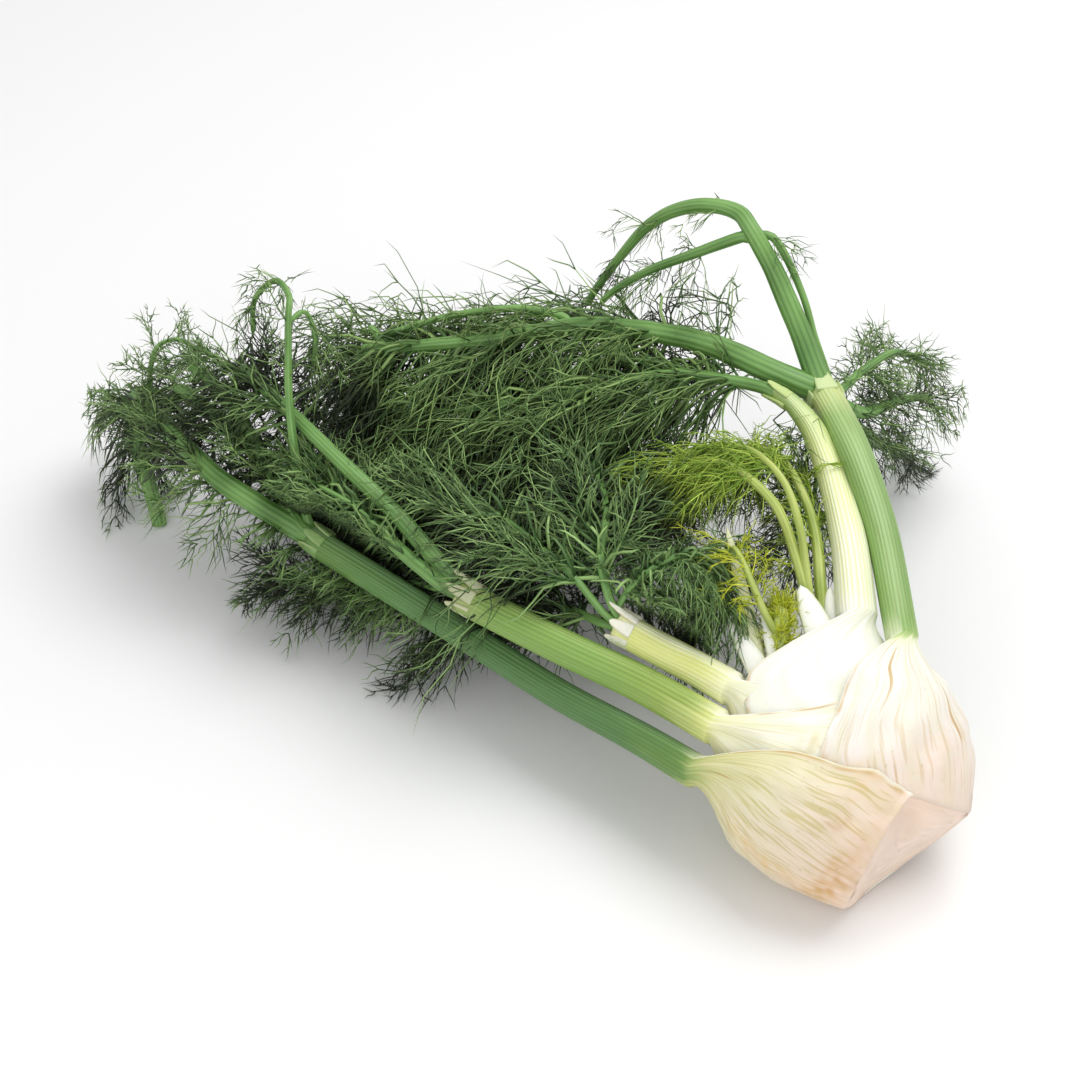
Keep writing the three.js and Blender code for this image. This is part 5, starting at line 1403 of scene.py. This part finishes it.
# %% Thread skins
def thread_skins(paths, thickness, colours, seed, sides=3):
    """A closed tapering skin round each path: a ring at every point but the last, where it comes
    to a point. The colour runs from the first to the second, and differs from thread to thread:
    most are dark and a few are light. Deep in the foliage it is darker: shade painted into the
    tint by open_air."""
    draw = np.random.default_rng(seed)
    n, k = paths.shape[:2]
    tangent = unit(np.gradient(paths, axis=1))
    chord = unit(paths[:, -1:] - paths[:, :1])
    across = unit(np.cross(tangent, np.cross(chord, draw.normal(size=(n, 1, 3)))))
    out = np.cross(tangent, across)
    u = np.linspace(0, 1, k)[None, :, None]
    turn = np.linspace(0, 2 * np.pi, sides, endpoint=False)[None, None, :, None]
    spokes = np.cos(turn) * across[:, :-1, None] + np.sin(turn) * out[:, :-1, None]
    wide = thickness * (1 - 0.5 * u[:, :-1, None]) * draw.uniform(0.8, 1.2, (n, 1, 1, 1))
    rings = paths[:, :-1, None] + wide * spokes
    points = np.concatenate([rings.reshape(n, -1, 3), paths[:, -1:]], axis=1)
    tip, last_ring = (k - 1) * sides, (k - 2) * sides + np.arange(sides)
    one = np.concatenate([grid_triangles(k - 1, sides), fan(tip, last_ring, flip=True),
                          np.arange(sides)[None, ::-1]])
    triangles = (one[None] + (np.arange(n) * points.shape[1])[:, None, None]).reshape(-1, 3)
    light = np.concatenate([np.repeat(u[0, :-1, 0], sides), [1]])[None, :, None]
    own = draw.uniform(0, 1, (n, 1, 1))
    pick = np.clip(0.4 * light + 0.95 * own ** 2 - 0.05, 0, 1)
    tint = mix(paint(*colours[0]), paint(*colours[1]), pick) * open_air(points)[..., None]
    flat = points.reshape(-1, 3)
    return flat, outward(flat, triangles), tint.reshape(-1, 3), np.zeros((len(flat), 2))


print("faces of a thread with four points:",
      len(thread_skins(np.cumsum(np.ones((1, 4, 3)), axis=1), 1, ((0, 0, 0), (9, 9, 9)), 1)[1]))

# %% Stem skins
STEM_ROW = 2.6
STEM_ROUND = 3.0        # length over which the end of a stem closes
STEM_ON_GROUND = 0.2    # a stem is pressed flat at this height, and its grooves a little higher


def stem_skin(route, size, colours, seed):
    """A ribbed tube along a route, its radius blended from start to end, closed at both ends with
    a rounded cap, and flat where it rests on the ground. Its rings are turned by the normal of the
    plane that the route lies nearest to, so they don't twist."""
    length = line_through(route, 3)[1]
    rows = max(int(length / STEM_ROW), 8)
    middle = line_through(route, rows)[0]
    tangent = unit(np.gradient(middle, axis=0))
    normal = np.linalg.svd(middle - middle.mean(axis=0))[2][-1]
    across = unit(np.cross(tangent, normal))
    out = np.cross(tangent, across)
    columns = 44 if size[0] > 4 else 28 if size[0] > 2.3 else 14
    ribs = columns // 4
    run = np.linspace(0, length, rows)[:, None]
    turn = np.linspace(0, 2 * np.pi, columns, endpoint=False)[None, :]
    to_end = np.minimum(run, length - run) / STEM_ROUND
    cap = np.sqrt(np.maximum(1 - (1 - np.minimum(to_end, 1)) ** 2, 0.04))
    groove = np.abs(np.sin(turn * ribs / 2)) ** 0.8
    radius = mix(size[0], size[1], run / length) * cap * (0.95 + 0.07 * groove)
    radius = radius * (1 + 0.03 * ripple(run, turn * 3, 22, seed))
    points = middle[:, None] + radius[..., None] * (np.cos(turn)[..., None] * across[:, None]
                                                    + np.sin(turn)[..., None] * out[:, None])
    points[..., 2] = np.maximum(points[..., 2], STEM_ON_GROUND + 0.1 * groove)
    flat = points.reshape(-1, 3)
    first, last = np.arange(columns), (rows - 1) * columns + np.arange(columns)
    triangles = np.concatenate([grid_triangles(rows, columns), lid(first), lid(last, flip=True)])
    light = 0.35 + 0.5 * groove + 0.2 * ripple(run, turn * 2, 30, seed + 1)
    tint = mix(paint(*colours[0]), paint(*colours[1]), np.clip(light, 0, 1)[..., None])
    uv = np.stack(np.broadcast_arrays(turn / (2 * np.pi), run / 100), axis=-1)
    return flat, outward(flat, triangles), tint.reshape(-1, 3), uv.reshape(-1, 2)


print("stems have a ring every", STEM_ROW, "mm")

# %% [markdown]
# ## Whole fronds
#
# The threads and the stems of a frond stay apart, because they have different skins: a stem has
# streaks and lets light in, a thread is too thin for both. A large frond's threads go into a few
# pieces, because one mesh with all of them would be slow to handle.

# %% Building the fronds
STEM_COLOURS = {"dark_frond": ((70, 112, 52), (128, 172, 96)),
                "young_frond": ((140, 166, 64), (196, 208, 120))}
PLUMES_A_PIECE = 130


def thread_material(name, roughness):
    """The tint of each point on a slightly waxy thread."""
    material, tree, shader, tint = tinted_material(name, roughness)
    tree.links.new(tint.outputs["Color"], shader.inputs["Base Color"])
    return material


def build_frond(name, frond, on_stems, on_threads):
    """The stems as one piece, then the plumes stem by stem, a few pieces for a large frond."""
    stems = [stem_skin(stem["route"], stem["size"], STEM_COLOURS[frond["slot"]], frond["seed"] + n)
             for n, stem in enumerate(frond["stems"])]
    pieces = [make_piece(name + "_stems", *joined(stems), on_stems)]
    shells, held, part = [], 0, 1
    for n, stem in enumerate(frond["stems"]):
        shells += [thread_skins(paths, thickness, frond["colours"], frond["seed"] * 9 + 7 * n + k)
                   for k, (paths, thickness) in enumerate(PLUMES[name][n])]
        held += stem["plumes"]
        is_last = n + 1 == len(frond["stems"])
        if is_last or held + frond["stems"][n + 1]["plumes"] > PLUMES_A_PIECE:
            pieces.append(make_piece(f"{name}_threads_{part}", *joined(shells), on_threads))
            shells, held, part = [], 0, part + 1
    for piece in pieces:
        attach(piece, "root")
        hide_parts(name)
    print(name, [len(piece.data.polygons) for piece in pieces], "triangles")
    return sum(len(piece.data.polygons) for piece in pieces)


THREAD = thread_material("thread", 0.5)
STEM = skin_material("stem skin", (14, 5, 0.3), [],
                     speck=0.15, roughness=0.45, under=0.1, bump=0.4)
IN_FRONDS = [build_frond(name, frond, STEM, THREAD) for name, frond in FRONDS.items()]
print(sum(IN_FRONDS), "triangles in the fronds")

# %% [markdown]
# ## Floor
#
# A plain pale floor, wide enough that its edge is far out of sight. It is a stage: it isn't part of
# the plant.

# %% Floor
FLOOR_HALF = 3.0
floor_mesh = bpy.data.meshes.new("floor")
corners = [(x * FLOOR_HALF, y * FLOOR_HALF, 0) for x, y in ((-1, -1), (1, -1), (1, 1), (-1, 1))]
floor_mesh.from_pydata(corners, [], [(0, 1, 2, 3)])
floor = bpy.data.objects.new("floor", floor_mesh)
bpy.context.scene.collection.objects.link(floor)
floor_paint = bpy.data.materials.new("pale floor")
floor_paint.use_nodes = True
floor_shader = floor_paint.node_tree.nodes["Principled BSDF"]
floor_shader.inputs["Base Color"].default_value = (0.9, 0.9, 0.9, 1)
floor_shader.inputs["Roughness"].default_value = 0.8
floor_mesh.materials.append(floor_paint)
print("floor:", 2 * FLOOR_HALF, "m wide")

# %% [markdown]
# ## Light
#
# Wide, soft lights, as in a studio tent. The strongest hangs above the plant, behind it and to the
# right: it brightens the top of the bulb and gives the ribs their shadows. A weaker one in front
# on the left and a white world keep the shadows open. A small lamp or the sun would draw hard
# shadows of every thread.

# %% Lights
LIT = (-0.08, 0.06, 0.05)      # the middle of the plant


def area_light(name, place, size, power):
    """A square light of that size in metres, turned to face the middle of the plant."""
    lamp = bpy.data.objects.new(name, bpy.data.lights.new(name, "AREA"))
    bpy.context.scene.collection.objects.link(lamp)
    lamp.data.size, lamp.data.energy = size, power
    lamp.location = place
    lamp.rotation_euler = (Vector(LIT) - Vector(place)).to_track_quat("-Z", "Y").to_euler()
    return lamp


area_light("top light", (0.3, 0.34, 1.31), size=0.9, power=10.4)
area_light("front light", (-0.6, -1.1, 0.9), size=1.2, power=5)
world = bpy.data.worlds.new("white room")
bpy.context.scene.world = world
world.use_nodes = True
world.node_tree.nodes["Background"].inputs["Color"].default_value = (1, 1, 1, 1)
world.node_tree.nodes["Background"].inputs["Strength"].default_value = 0.66
bpy.context.scene.view_settings.view_transform = "Standard"
